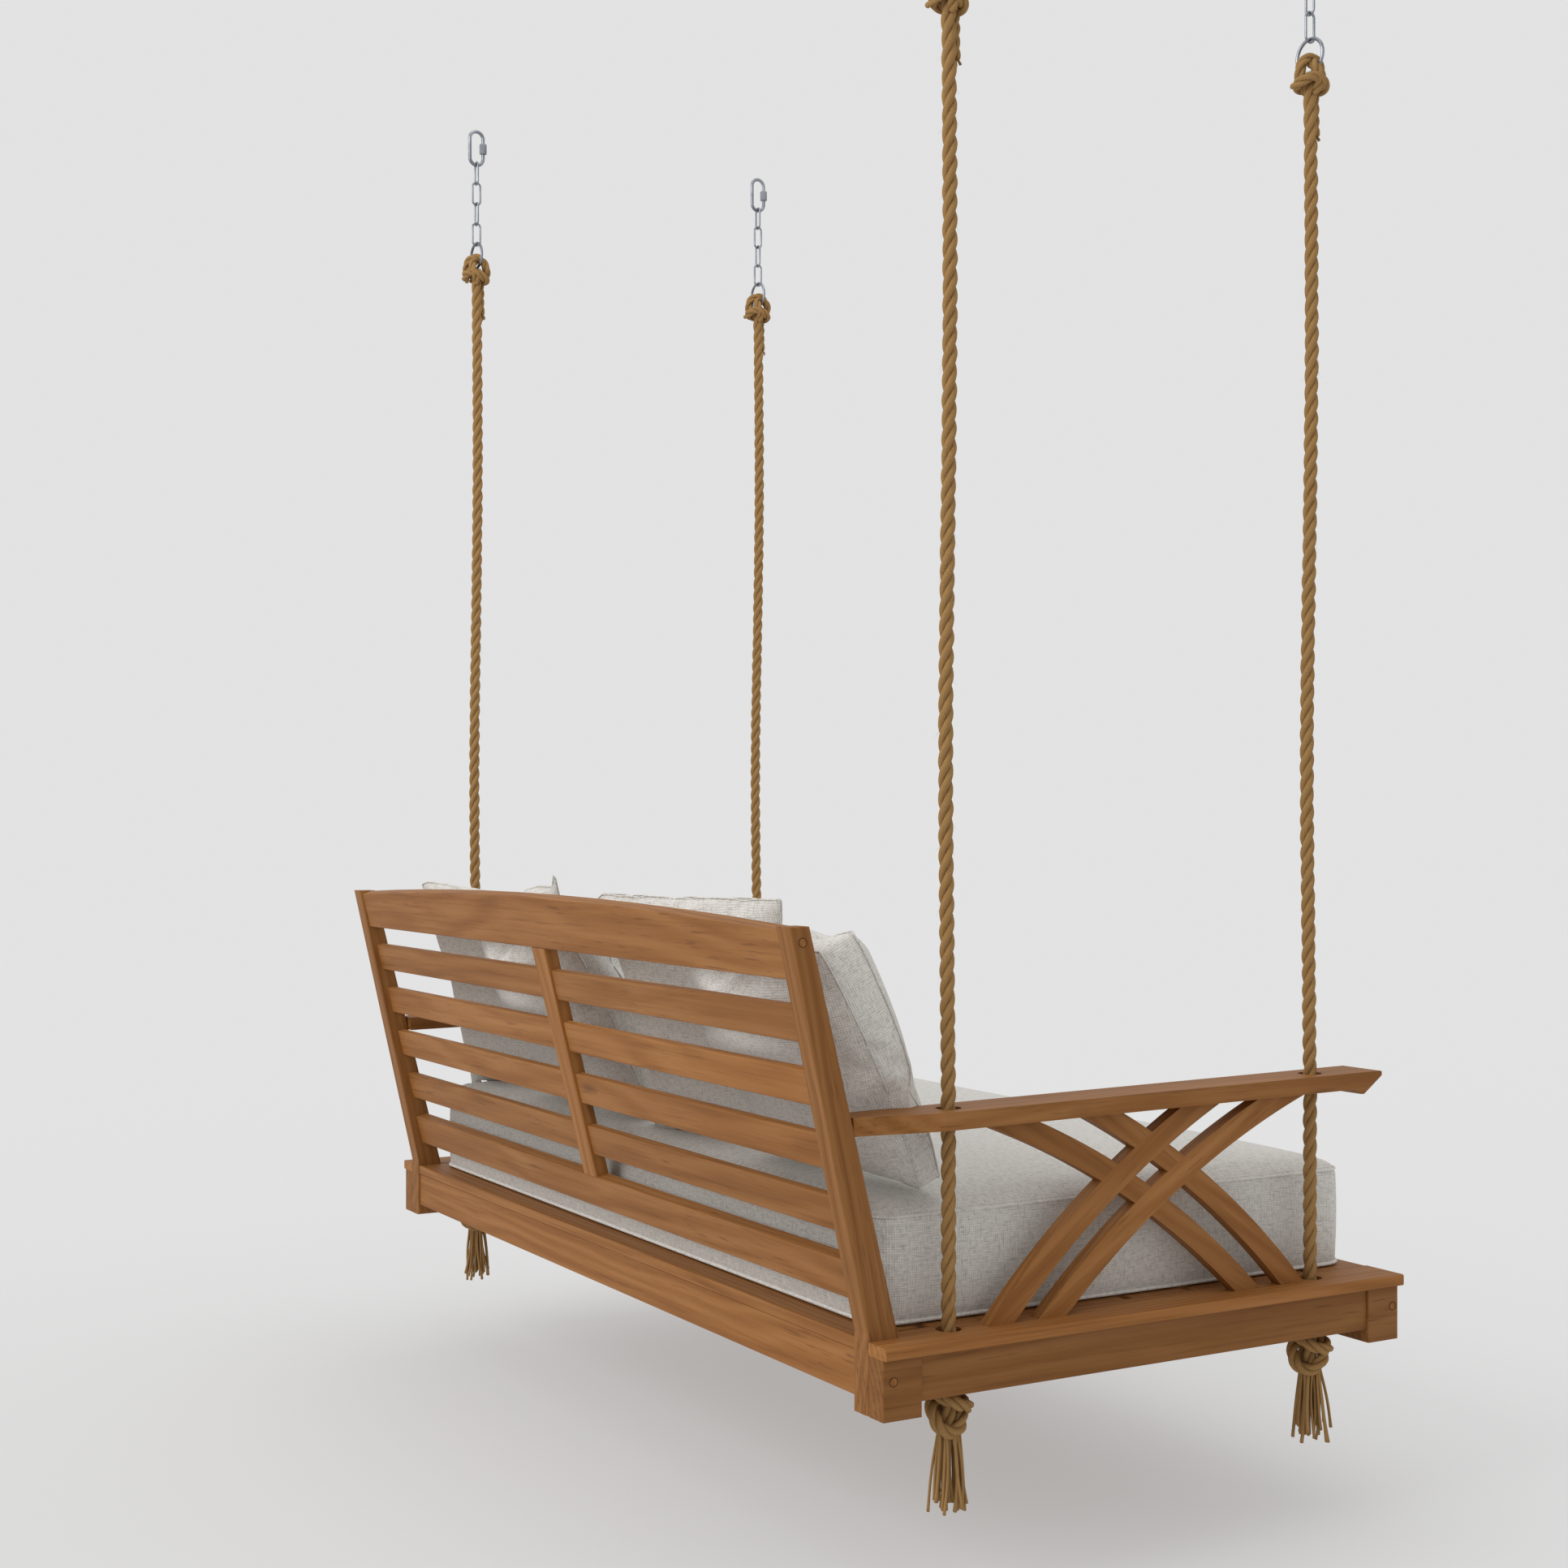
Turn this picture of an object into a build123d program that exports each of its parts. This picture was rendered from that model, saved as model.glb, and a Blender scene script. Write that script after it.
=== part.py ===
from build123d import *
import os
from math import atan, cos, radians, sin, sqrt

# Porch swing: a slatted wooden bench on four manila ropes, each hung by a ring, a short chain and
# a quick link. Millimetres, +Z up, the sitter faces -Y, left is -X as seen from the front.
# The origin is the middle of the four hanging points, at the height where the hooks would bear.

# ---- driving dimensions ------------------------------------------------------------------
DECK = -2113.0            # top of the seat deck
REAR = 468.5              # rear face of the seat frame
WIDTH = 1830.0            # over the side boards
DEPTH = 942.0             # seat deck, rear to front
BOARD_THICK = 17.0        # side boards and seat slats
BOARD_WIDTH = 78.0
FRAME_BOTTOM = -80.0      # underside of the aprons and side rails, from the deck
BLOCK_BOTTOM = -99.0      # underside of the corner blocks and the stiles
EDGE = 2.5                # rounding on the edges of the wood

FRAME_OUT = 907.0         # outer face of the corner blocks, from the centre
RAIL_OUT = 902.0          # outer face of the side rails
STILE_OUT = 870.0
STILE_IN = 833.0
BLOCK_REAR_DEPTH = 62.0
BLOCK_FRONT_NEAR = -876.0
BLOCK_FRONT_FAR = -938.0
APRON_THICK = 22.0

STILE_DEPTH = 49.0        # at the deck
STILE_KNEE = 10.0         # where the rear face starts to lean
STILE_TOP = 557.0
STILE_TOP_REAR = 122.0
STILE_TOP_FRONT = 90.5

BACK_RAIL_THICK = 24.0
BACK_INSET = 4.0          # front of the back rails behind the front of the stiles
SLAT_THICK = 14.0
SLAT_WIDTH = 51.0
SLAT_GAP = 38.6
BOTTOM_RAIL = (52.4, 108.4)   # from the deck, along the lean
MULLION_WIDTH = 50.0
TOP_RAIL_END = 574.0
TOP_RAIL_CROWN = 594.0

ARM_IN = 818.0
ARM_OUT = 898.0
ARM_THICK = 25.0
ARM_TOP_AT_REAR_ROPE = 302.6
ARM_SLOPE = 0.013         # the arm rises a little towards the front
ARM_FRONT = -913.0
ARM_KINK = -105.0         # behind this the arm narrows to meet the stile
ARM_REAR = 22.0

BRACE_OUT = 877.0         # outer face of the crossed arm braces
BRACE_THICK = 21.0
BRACE_WIDTH = 34.0
BRACE_RADIUS = 1300.0
BRACE_MIDDLE = -481.0     # the lattice is symmetric about this depth
BRACE_ENDS = ((269.0, -95.0), (180.0, -254.0))   # foot and top of each pair, from the middle

ROPE_X = 860.0
ROPE_REAR = -136.0
ROPE_FRONT = -801.0
ROPE_D = 20.0
ROPE_HOLE_D = 36.0
RAIL_HOLE_D = 24.0
PIVOT = 292.0             # height of the bend in the rope, inside the arm's hole

LINK_WIRE_D = 4.0
LINK_LENGTH = 50.0        # outside
LINK_WIDTH = 20.6
LINK_COUNT = 4
RING_WIRE_D = 5.6
RING_D = 57.0
RING_TURN = radians(3)   # the ring hangs turned about the vertical
QUICK_WIRE_D = 7.0
QUICK_LENGTH = 76.0
QUICK_WIDTH = 36.0
QUICK_GAP = (-9.0, -3.0)    # the opening in the front leg, from the link's middle
NUT_FLATS = 13.0
NUT_LENGTH = 20.0
TOUCH = 0.1               # gap left between metal parts that hang in each other
SLIP = 0.3                # gap left between parts that move on each other

SIDES = (("left", -1), ("right", 1))
CORNERS = tuple(
    (f"{end}_{side}", sign * ROPE_X, depth)
    for side, sign in SIDES
    for end, depth in (("rear", ROPE_REAR), ("front", ROPE_FRONT))
)
LEAN = atan((STILE_TOP_FRONT + STILE_DEPTH) / STILE_TOP)

os.makedirs("parts", exist_ok=True)


def save(part, name):
    """Label a finished piece and write it as its own STEP file."""
    part.label = name
    export_step(part, f"parts/{name}.step")


def at(depth, height):
    """A (Y, Z) point of a side profile, from the rear of the frame and the top of the deck."""
    return (REAR + depth, DECK + height)


def side_plane(inner, outer, sign):
    """The profile plane at the smaller X of a piece lying between two distances from the centre."""
    return Plane.YZ.offset(min(sign * inner, sign * outer))


def box_between(x_range, depth_range, height_range, edge=EDGE):
    """A rounded board between two X values, two depths and two heights."""
    x_low, x_high = sorted(x_range)
    y_low, y_high = sorted(depth_range)
    z_low, z_high = sorted(height_range)
    centre = ((x_low + x_high) / 2, REAR + (y_low + y_high) / 2)
    with BuildPart() as board:
        with BuildSketch(Plane.XY.offset(DECK + z_low)):
            with Locations(centre):
                Rectangle(x_high - x_low, y_high - y_low)
        extrude(amount=z_high - z_low)
        if edge:
            longest = max(x_high - x_low, y_high - y_low, z_high - z_low)
            long_edges = board.edges().filter_by(lambda e: abs(e.length - longest) < 0.01)
            fillet(long_edges, edge)
    return board


# ---- back frame: leaning stiles, rails, mullion and slats ----------------------------------
stile_profile = (
    at(0, BLOCK_BOTTOM),
    at(0, STILE_KNEE),
    at(STILE_TOP_REAR, STILE_TOP),
    at(STILE_TOP_FRONT, STILE_TOP),
    at(-STILE_DEPTH, 0),
    at(-STILE_DEPTH, BLOCK_BOTTOM),
)
for side, sign in SIDES:
    with BuildPart() as stile:
        with BuildSketch(side_plane(STILE_IN, STILE_OUT, sign)):
            with BuildLine():
                Polyline(*stile_profile, close=True)
            make_face()
        extrude(amount=STILE_OUT - STILE_IN)
        fillet(stile.edges().filter_by(Axis.X, reverse=True), EDGE)
    save(stile.part, f"stile_{side}")

# The rails and slats share one leaning plane, parallel to the stiles' front edge. Its origin is
# where the front of the rails meets the deck, its Y runs up the lean, and its normal points back.
back_normal = (0, cos(LEAN), -sin(LEAN))
back_front = Plane(origin=(0, REAR - STILE_DEPTH + BACK_INSET, DECK), x_dir=(-1, 0, 0), z_dir=back_normal)


def back_board(x_range, up_range, thick, set_back):
    """A straight board in the leaning plane of the back."""
    x_low, x_high = sorted(x_range)
    with BuildPart() as board:
        with BuildSketch(back_front.offset(set_back)):
            with Locations((-(x_low + x_high) / 2, sum(up_range) / 2)):
                Rectangle(x_high - x_low, up_range[1] - up_range[0])
        extrude(amount=thick)
        fillet(board.edges().filter_by(Axis.X), EDGE)
    return board


bottom_rail = back_board((-STILE_IN, STILE_IN), BOTTOM_RAIL, BACK_RAIL_THICK, 0)
save(bottom_rail.part, "back_bottom_rail")

slat_pitch = SLAT_WIDTH + SLAT_GAP
slat_set_back = BACK_RAIL_THICK - SLAT_THICK - 5
half_mullion = MULLION_WIDTH / 2
slat_bottoms = [BOTTOM_RAIL[1] + SLAT_GAP + row * slat_pitch for row in range(4)]
for side, sign in SIDES:
    for row, bottom in enumerate(slat_bottoms):
        reach = (sign * half_mullion, sign * STILE_IN)
        slat = back_board(reach, (bottom, bottom + SLAT_WIDTH), SLAT_THICK, slat_set_back)
        save(slat.part, f"back_slat_{side}_{row + 1}")

top_rail_bottom = slat_bottoms[-1] + slat_pitch
with BuildPart() as mullion:
    with BuildSketch(back_front):
        with Locations((0, (BOTTOM_RAIL[1] + top_rail_bottom) / 2)):
            Rectangle(MULLION_WIDTH, top_rail_bottom - BOTTOM_RAIL[1])
    extrude(amount=BACK_RAIL_THICK)
    fillet(mullion.edges().filter_by(lambda e: abs(e.length - (top_rail_bottom - BOTTOM_RAIL[1])) < 0.01), EDGE)
save(mullion.part, "back_mullion")

with BuildPart() as top_rail:
    with BuildSketch(back_front):
        with BuildLine():
            Line((-STILE_IN, top_rail_bottom), (STILE_IN, top_rail_bottom))
            Line((STILE_IN, top_rail_bottom), (STILE_IN, TOP_RAIL_END))
            ThreePointArc((STILE_IN, TOP_RAIL_END), (0, TOP_RAIL_CROWN), (-STILE_IN, TOP_RAIL_END))
            Line((-STILE_IN, TOP_RAIL_END), (-STILE_IN, top_rail_bottom))
        make_face()
    extrude(amount=BACK_RAIL_THICK)
    fillet(top_rail.edges().filter_by(lambda e: e.length > STILE_IN), EDGE)
save(top_rail.part, "back_top_rail")

# ---- seat frame: aprons, side rails, corner blocks, boards and slats -------------------------
apron_height = (FRAME_BOTTOM, -BOARD_THICK)
rear_apron = box_between((-STILE_IN, STILE_IN), (-4, -4 - APRON_THICK), apron_height)
save(rear_apron.part, "rear_apron")
front_face = BLOCK_FRONT_FAR + 4
front_apron = box_between((-STILE_IN, STILE_IN), (front_face, front_face + APRON_THICK), apron_height)
save(front_apron.part, "front_apron")

for side, sign in SIDES:
    block_height = (BLOCK_BOTTOM, -BOARD_THICK)
    rear_block = box_between((sign * STILE_OUT, sign * FRAME_OUT), (0, -BLOCK_REAR_DEPTH), block_height)
    save(rear_block.part, f"corner_block_rear_{side}")
    front_block = box_between(
        (sign * STILE_IN, sign * FRAME_OUT), (BLOCK_FRONT_NEAR, BLOCK_FRONT_FAR), block_height
    )
    save(front_block.part, f"corner_block_front_{side}")

    with BuildPart() as side_rail:
        with BuildSketch(Plane.XY.offset(DECK + FRAME_BOTTOM)):
            with Locations((sign * (STILE_IN + RAIL_OUT) / 2, REAR + (BLOCK_FRONT_NEAR - BLOCK_REAR_DEPTH) / 2)):
                Rectangle(RAIL_OUT - STILE_IN, -BLOCK_REAR_DEPTH - BLOCK_FRONT_NEAR)
        extrude(amount=-BOARD_THICK - FRAME_BOTTOM)
        fillet(side_rail.edges().filter_by(Axis.Y), EDGE)
        with BuildSketch(Plane.XY.offset(DECK + FRAME_BOTTOM)):
            with Locations(*((sign * ROPE_X, REAR + depth) for depth in (ROPE_REAR, ROPE_FRONT))):
                Circle(RAIL_HOLE_D / 2)
        extrude(amount=-BOARD_THICK - FRAME_BOTTOM, mode=Mode.SUBTRACT)
    save(side_rail.part, f"side_rail_{side}")

    board_out = WIDTH / 2
    board_in = board_out - BOARD_WIDTH
    notch = STILE_OUT + SLIP
    outline = (
        (sign * board_out, REAR),
        (sign * board_out, REAR - DEPTH),
        (sign * board_in, REAR - DEPTH),
        (sign * board_in, REAR - STILE_DEPTH - SLIP),
        (sign * notch, REAR - STILE_DEPTH - SLIP),
        (sign * notch, REAR),
    )
    with BuildPart() as side_board:
        with BuildSketch(Plane.XY.offset(DECK - BOARD_THICK)):
            with BuildLine():
                Polyline(*outline, close=True)
            make_face()
            with Locations(*((sign * ROPE_X, REAR + depth) for depth in (ROPE_REAR, ROPE_FRONT))):
                Circle(ROPE_HOLE_D / 2, mode=Mode.SUBTRACT)
        extrude(amount=BOARD_THICK)
        outer_edges = side_board.edges().filter_by(Axis.Y).filter_by(
            lambda e: abs(abs(e.center().X) - board_out) < 0.01
        )
        fillet(outer_edges, 3)
    save(side_board.part, f"side_board_{side}")

slat_end = WIDTH / 2 - BOARD_WIDTH - 1
seat_slat_count = 8
seat_slat_width = 105.0
seat_slat_pitch = (DEPTH - 4 - seat_slat_width) / (seat_slat_count - 1)
rear_slat = box_between((-STILE_IN + 1, STILE_IN - 1), (-2, -2 - seat_slat_width), (-BOARD_THICK, 0))
save(rear_slat.part, "seat_slat_rear")
with BuildPart() as seat_slats:
    for number in range(1, seat_slat_count):
        start = -2 - number * seat_slat_pitch
        slat = box_between((-slat_end, slat_end), (start, start - seat_slat_width), (-BOARD_THICK, 0))
        add(slat.part)
save(seat_slats.part, "seat_slats")

bearer_spread = 410.0
with BuildPart() as seat_bearers:
    for place in (-2, -1, 0, 1, 2):
        middle = place * bearer_spread
        if abs(place) == 2:
            middle = place * (STILE_IN - 13) / 2
        bearer = box_between(
            (middle - 12, middle + 12), (-4 - APRON_THICK, front_face + APRON_THICK), (-64, -BOARD_THICK), 0
        )
        add(bearer.part)
save(seat_bearers.part, "seat_bearers")

# ---- arms and their crossed braces --------------------------------------------------------
def arm_top(depth):
    """Height of the arm's top face above the deck at a depth."""
    return ARM_TOP_AT_REAR_ROPE + ARM_SLOPE * (ROPE_REAR - depth)


def arm_under(depth):
    return arm_top(depth) - ARM_THICK


lip = 8.0                 # the front end is thickened downwards into a finger grip
nose = 7.0
undercut = 37.0
lip_width = 6.0
lip_curve = 13.0
arm_low = ARM_FRONT + undercut
arm_profile = (
    at(ARM_REAR, arm_top(ARM_REAR)),
    at(ARM_FRONT, arm_top(ARM_FRONT)),
    at(ARM_FRONT, arm_top(ARM_FRONT) - nose),
    at(arm_low, arm_under(arm_low) - lip),
    at(arm_low + lip_width, arm_under(arm_low) - lip),
    at(arm_low + lip_width + lip_curve, arm_under(arm_low + lip_curve)),
    at(ARM_REAR, arm_under(ARM_REAR)),
)
for side, sign in SIDES:
    with BuildPart() as arm:
        with BuildSketch(side_plane(ARM_IN, ARM_OUT, sign)):
            with BuildLine():
                Polyline(*arm_profile, close=True)
            make_face()
        extrude(amount=ARM_OUT - ARM_IN)
        # the narrowing towards the stile
        with BuildSketch(Plane.XY.offset(DECK + 200)):
            with BuildLine():
                Polyline(
                    (sign * ARM_OUT, REAR + ARM_KINK),
                    (sign * (STILE_OUT - 2), REAR + ARM_REAR + 1),
                    (sign * (ARM_OUT + 1), REAR + ARM_REAR + 1),
                    (sign * (ARM_OUT + 1), REAR + ARM_KINK),
                    close=True,
                )
            make_face()
        extrude(amount=200, mode=Mode.SUBTRACT)
        # the rear end follows the leaning front face of the stile
        stile_front = Plane(
            origin=(0, REAR - STILE_DEPTH - SLIP / 2, DECK), x_dir=(-1, 0, 0), z_dir=back_normal
        )
        split(bisect_by=stile_front, keep=Keep.BOTTOM)
        fillet(arm.edges().filter_by(Axis.X).sort_by(Axis.Y)[0:2], 3)
        with BuildSketch(Plane.XY.offset(DECK + 200)):
            with Locations(*((sign * ROPE_X, REAR + depth) for depth in (ROPE_REAR, ROPE_FRONT))):
                Circle(ROPE_HOLE_D / 2)
        extrude(amount=200, mode=Mode.SUBTRACT)
    save(arm.part, f"arm_{side}")


def brace_band(foot, top, sign, x_range):
    """A curved brace from foot to top, both given from the middle of the lattice."""
    direction = 1 if top > foot else -1
    start = Vector(BRACE_MIDDLE + foot, 0)
    end = Vector(BRACE_MIDDLE + top, arm_under(BRACE_MIDDLE + top))
    chord = end - start
    along = chord.normalized()
    across = Vector(-direction * along.Y, direction * along.X)
    sag = BRACE_RADIUS - sqrt(BRACE_RADIUS**2 - (chord.length / 2) ** 2)
    spare = 60.0
    extra = (chord.length / 2 + spare) ** 2
    end_drop = BRACE_RADIUS - sqrt(BRACE_RADIUS**2 - extra)
    middle = (start + end) * 0.5
    half = BRACE_WIDTH / 2

    def point(along_by, across_by):
        spot = middle + along * along_by + across * across_by
        return at(spot.X, spot.Y)

    reach = chord.length / 2 + spare
    x_low, x_high = sorted(sign * x for x in x_range)
    with BuildPart(mode=Mode.PRIVATE) as band:
        with BuildSketch(Plane.YZ.offset(x_low)):
            with BuildLine():
                upper = ThreePointArc(
                    point(-reach, sag - end_drop + half), point(0, sag + half), point(reach, sag - end_drop + half)
                )
                lower = ThreePointArc(
                    point(-reach, sag - end_drop - half), point(0, sag - half), point(reach, sag - end_drop - half)
                )
                Line(upper @ 0, lower @ 0)
                Line(upper @ 1, lower @ 1)
            make_face()
        extrude(amount=x_high - x_low)
    return band.part


brace_inside = BRACE_OUT - BRACE_THICK
brace_middle = BRACE_OUT - BRACE_THICK / 2
brace_room = (
    at(200, 0),
    at(200, arm_under(200)),
    at(-1100, arm_under(-1100)),
    at(-1100, 0),
)
rising = BRACE_ENDS
falling = tuple((-foot, -top) for foot, top in reversed(BRACE_ENDS))
for side, sign in SIDES:
    lapped = ((rising, falling, (brace_inside, brace_middle)), (falling, rising, (brace_middle, BRACE_OUT)))
    number = 0
    for own, crossing, cut_range in lapped:
        for foot, top in own:
            number += 1
            with BuildPart() as brace:
                add(brace_band(foot, top, sign, (brace_inside, BRACE_OUT)))
                with BuildSketch(side_plane(brace_inside, BRACE_OUT, sign)):
                    with BuildLine():
                        Polyline(*brace_room, close=True)
                    make_face()
                extrude(amount=BRACE_THICK, mode=Mode.INTERSECT)
                for other_foot, other_top in crossing:
                    add(brace_band(other_foot, other_top, sign, cut_range), mode=Mode.SUBTRACT)
            save(brace.part, f"arm_brace_{side}_{number}")

# ---- wood plugs over the frame screws -------------------------------------------------------
PLUG_D = 12.0
PLUG_PROUD = 0.4
plug_spots = (
    (STILE_OUT, 101.5, 536.0),
    (FRAME_OUT, -16.0, -47.0),
    (FRAME_OUT, -926.0, -48.0),
)
with BuildPart() as plugs:
    for side, sign in SIDES:
        for face, depth, height in plug_spots:
            with BuildSketch(Plane.YZ.offset(sign * face)):
                with Locations(at(depth, height)):
                    Circle(PLUG_D / 2)
            extrude(amount=sign * PLUG_PROUD)
save(plugs.part, "wood_plugs")

# ---- seat cushion and pillows ---------------------------------------------------------------
CUSHION_HALF = 818.0
CUSHION_HEIGHT = 165.0
with BuildPart() as cushion:
    with BuildSketch(Plane.XY.offset(DECK + 1)):
        with Locations((0, REAR - 485)):
            RectangleRounded(2 * CUSHION_HALF, 878, 40)
    extrude(amount=CUSHION_HEIGHT)
    fillet(cushion.edges().group_by(Axis.Z)[-1], 14)
save(cushion.part, "seat_cushion")

PILLOW_LEAN = radians(26)
# name, width, height, thickness, flat edge, centre X, centre depth, centre height, turn about the vertical
PILLOWS = (
    ("back_pillow_left", 410.0, 385.0, 168.0, 56.0, -607.0, -64.0, 372.0, 0.0),
    ("back_pillow_right", 410.0, 385.0, 168.0, 56.0, 229.0, -64.0, 372.0, 0.0),
    ("throw_pillow_left", 374.0, 440.0, 116.0, 6.0, -208.0, -94.0, 384.0, radians(17)),
    ("throw_pillow_right", 374.0, 440.0, 116.0, 6.0, 616.0, -94.0, 384.0, radians(17)),
)
for name, width, height, thick, flat, x, depth, centre_height, turn in PILLOWS:
    level = Vector(cos(turn), sin(turn), 0)
    backward = Vector(-sin(turn) * cos(PILLOW_LEAN), cos(turn) * cos(PILLOW_LEAN), -sin(PILLOW_LEAN))
    face = Plane(origin=(x, REAR + depth, DECK + centre_height), x_dir=level, z_dir=backward)
    sections = (
        (-thick / 2, 0.50),
        (-thick * 0.38, 0.80),
        (-flat / 2, 1.0),
        (flat / 2, 1.0),
        (thick * 0.38, 0.80),
        (thick / 2, 0.50),
    )
    with BuildPart() as pillow:
        for set_back, scale in sections:
            with BuildSketch(face.offset(set_back)):
                RectangleRounded(width * scale, height * scale, 30)
        loft(ruled=True)
    save(pillow.part, name)

# ---- hanging hardware -----------------------------------------------------------------------
quick_low = -QUICK_LENGTH + QUICK_WIRE_D + QUICK_WIRE_D / 2    # centre of the bottom bow
quick_high = QUICK_WIRE_D / 2
pivot_z = quick_low + QUICK_WIRE_D / 2 + LINK_WIRE_D / 2 + SLIP
quick_half = (QUICK_WIDTH - QUICK_WIRE_D) / 2
quick_middle = (quick_low + quick_high) / 2


def oval_path(centre_z, length, width, plane):
    """A closed oval centre line: two straight legs and two half rounds."""
    radius = width / 2
    leg = length / 2 - radius
    with BuildLine(plane) as path:
        top = ThreePointArc((-radius, centre_z + leg), (0, centre_z + leg + radius), (radius, centre_z + leg))
        bottom = ThreePointArc((-radius, centre_z - leg), (0, centre_z - leg - radius), (radius, centre_z - leg))
        Line(top @ 0, bottom @ 0)
        Line(top @ 1, bottom @ 1)
    return path


def wire_oval(centre_z, length, width, wire_d, plane):
    """A closed oval of round wire."""
    path = oval_path(centre_z, length, width, plane)
    start = path.wire() @ 0
    heading = path.wire() % 0
    with BuildPart(mode=Mode.PRIVATE) as oval:
        with BuildSketch(Plane(origin=start, z_dir=heading)):
            Circle(wire_d / 2)
        sweep(path=path.wire())
    return oval.part


with BuildPart() as quick_links:
    for name, x, depth in CORNERS:
        plane = Plane(origin=(x, REAR + depth, 0), x_dir=(0, 1, 0), z_dir=(1, 0, 0))
        add(wire_oval(quick_middle, quick_high - quick_low, 2 * quick_half, QUICK_WIRE_D, plane))
        # the opening in the front leg, which the nut closes
        with BuildSketch(Plane.XY.offset(quick_middle + QUICK_GAP[0])):
            with Locations((x, REAR + depth - quick_half)):
                Circle(QUICK_WIRE_D)
        extrude(amount=QUICK_GAP[1] - QUICK_GAP[0], mode=Mode.SUBTRACT)
save(quick_links.part, "quick_links")

for name, x, depth in CORNERS:
    with BuildPart() as nut:
        with BuildSketch(Plane.XY.offset(quick_middle - NUT_LENGTH / 2)):
            with Locations((x, REAR + depth - quick_half)):
                RegularPolygon(NUT_FLATS / 2, 6, major_radius=False)
                Circle(QUICK_WIRE_D / 2 + SLIP / 2, mode=Mode.SUBTRACT)
        extrude(amount=NUT_LENGTH)
    save(nut.part, f"quick_link_nut_{name}")

link_pitch = LINK_LENGTH - 2 * LINK_WIRE_D - TOUCH
last_link_low = pivot_z - (LINK_COUNT - 1) * link_pitch - (LINK_LENGTH - LINK_WIRE_D)
ring_radius = (RING_D - RING_WIRE_D) / 2
ring_top = last_link_low + LINK_WIRE_D / 2 + RING_WIRE_D / 2 + TOUCH
ring_z = ring_top - ring_radius


ring_level = (cos(RING_TURN), sin(RING_TURN), 0)
ring_axis = (-sin(RING_TURN), cos(RING_TURN), 0)


def ring_solid(x, depth, wire_d):
    """The round ring under the chain, with its wire as thick as asked."""
    with BuildPart(mode=Mode.PRIVATE) as ring:
        turned = Plane(origin=(x, REAR + depth, ring_z), x_dir=ring_level, z_dir=ring_axis)
        with Locations(turned):
            Torus(ring_radius, wire_d / 2)
    return ring.part


for name, x, depth in CORNERS:
    with BuildPart() as chain:
        for number in range(LINK_COUNT):
            if number % 2 == 0:
                plane = Plane(origin=(x, REAR + depth, 0), x_dir=(1, 0, 0), z_dir=(0, -1, 0))
            else:
                plane = Plane(origin=(x, REAR + depth, 0), x_dir=(0, 1, 0), z_dir=(1, 0, 0))
            centre_z = pivot_z - number * link_pitch - (LINK_LENGTH - LINK_WIRE_D) / 2
            length = LINK_LENGTH - LINK_WIRE_D
            add(wire_oval(centre_z, length, LINK_WIDTH - LINK_WIRE_D, LINK_WIRE_D, plane))
        add(ring_solid(x, depth, RING_WIRE_D))
    save(chain.part, f"chain_{name}")

# ---- ropes ----------------------------------------------------------------------------------
KNOT_D = 56.0             # the knot that ties the rope to the ring
KNOT_Z = ring_z - ring_radius - 4
STOPPER_D = 66.0          # the stopper knot under the side rail
STOPPER_HEIGHT = 64.0
STOPPER_TOP = FRAME_BOTTOM - SLIP
TASSEL_LENGTH = 106.0
rope_radius = ROPE_D / 2
for name, x, depth in CORNERS:
    foot = (x, REAR + depth, DECK + PIVOT)
    with BuildPart() as upper_rope:
        with Locations((x, REAR + depth, KNOT_Z)):
            Sphere(KNOT_D / 2)
        with BuildSketch(Plane.XY.offset(DECK + PIVOT)):
            with Locations((x, REAR + depth)):
                Circle(rope_radius)
        extrude(amount=KNOT_Z - DECK - PIVOT)
        with Locations(foot):
            Sphere(rope_radius)
        add(ring_solid(x, depth, RING_WIRE_D + 2 * TOUCH), mode=Mode.SUBTRACT)
    save(upper_rope.part, f"rope_{name}")

    lower_top = DECK + PIVOT - rope_radius - 2 * SLIP
    stopper_top = DECK + STOPPER_TOP
    with BuildPart() as lower_rope:
        with BuildSketch(Plane.XY.offset(stopper_top - 10)):
            with Locations((x, REAR + depth)):
                Circle(rope_radius)
        extrude(amount=lower_top - stopper_top + 10)
        with BuildSketch(Plane(origin=(x, REAR + depth, stopper_top), x_dir=(1, 0, 0), z_dir=(0, -1, 0))):
            with BuildLine():
                radius = STOPPER_D / 2
                Line((0, 0), (radius - 14, 0))
                ThreePointArc((radius - 14, 0), (radius, -STOPPER_HEIGHT / 2), (radius - 14, -STOPPER_HEIGHT))
                Line((radius - 14, -STOPPER_HEIGHT), (14, -STOPPER_HEIGHT))
                Line((14, -STOPPER_HEIGHT), (30, -STOPPER_HEIGHT - TASSEL_LENGTH))
                Line((30, -STOPPER_HEIGHT - TASSEL_LENGTH), (0, -STOPPER_HEIGHT - TASSEL_LENGTH))
                Line((0, -STOPPER_HEIGHT - TASSEL_LENGTH), (0, 0))
            make_face()
        revolve(axis=Axis((x, REAR + depth, 0), (0, 0, 1)))
    save(lower_rope.part, f"rope_end_{name}")
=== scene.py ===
import math
import random

import bmesh
import bpy
import numpy as np
from mathutils import Matrix, Vector, noise


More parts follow.
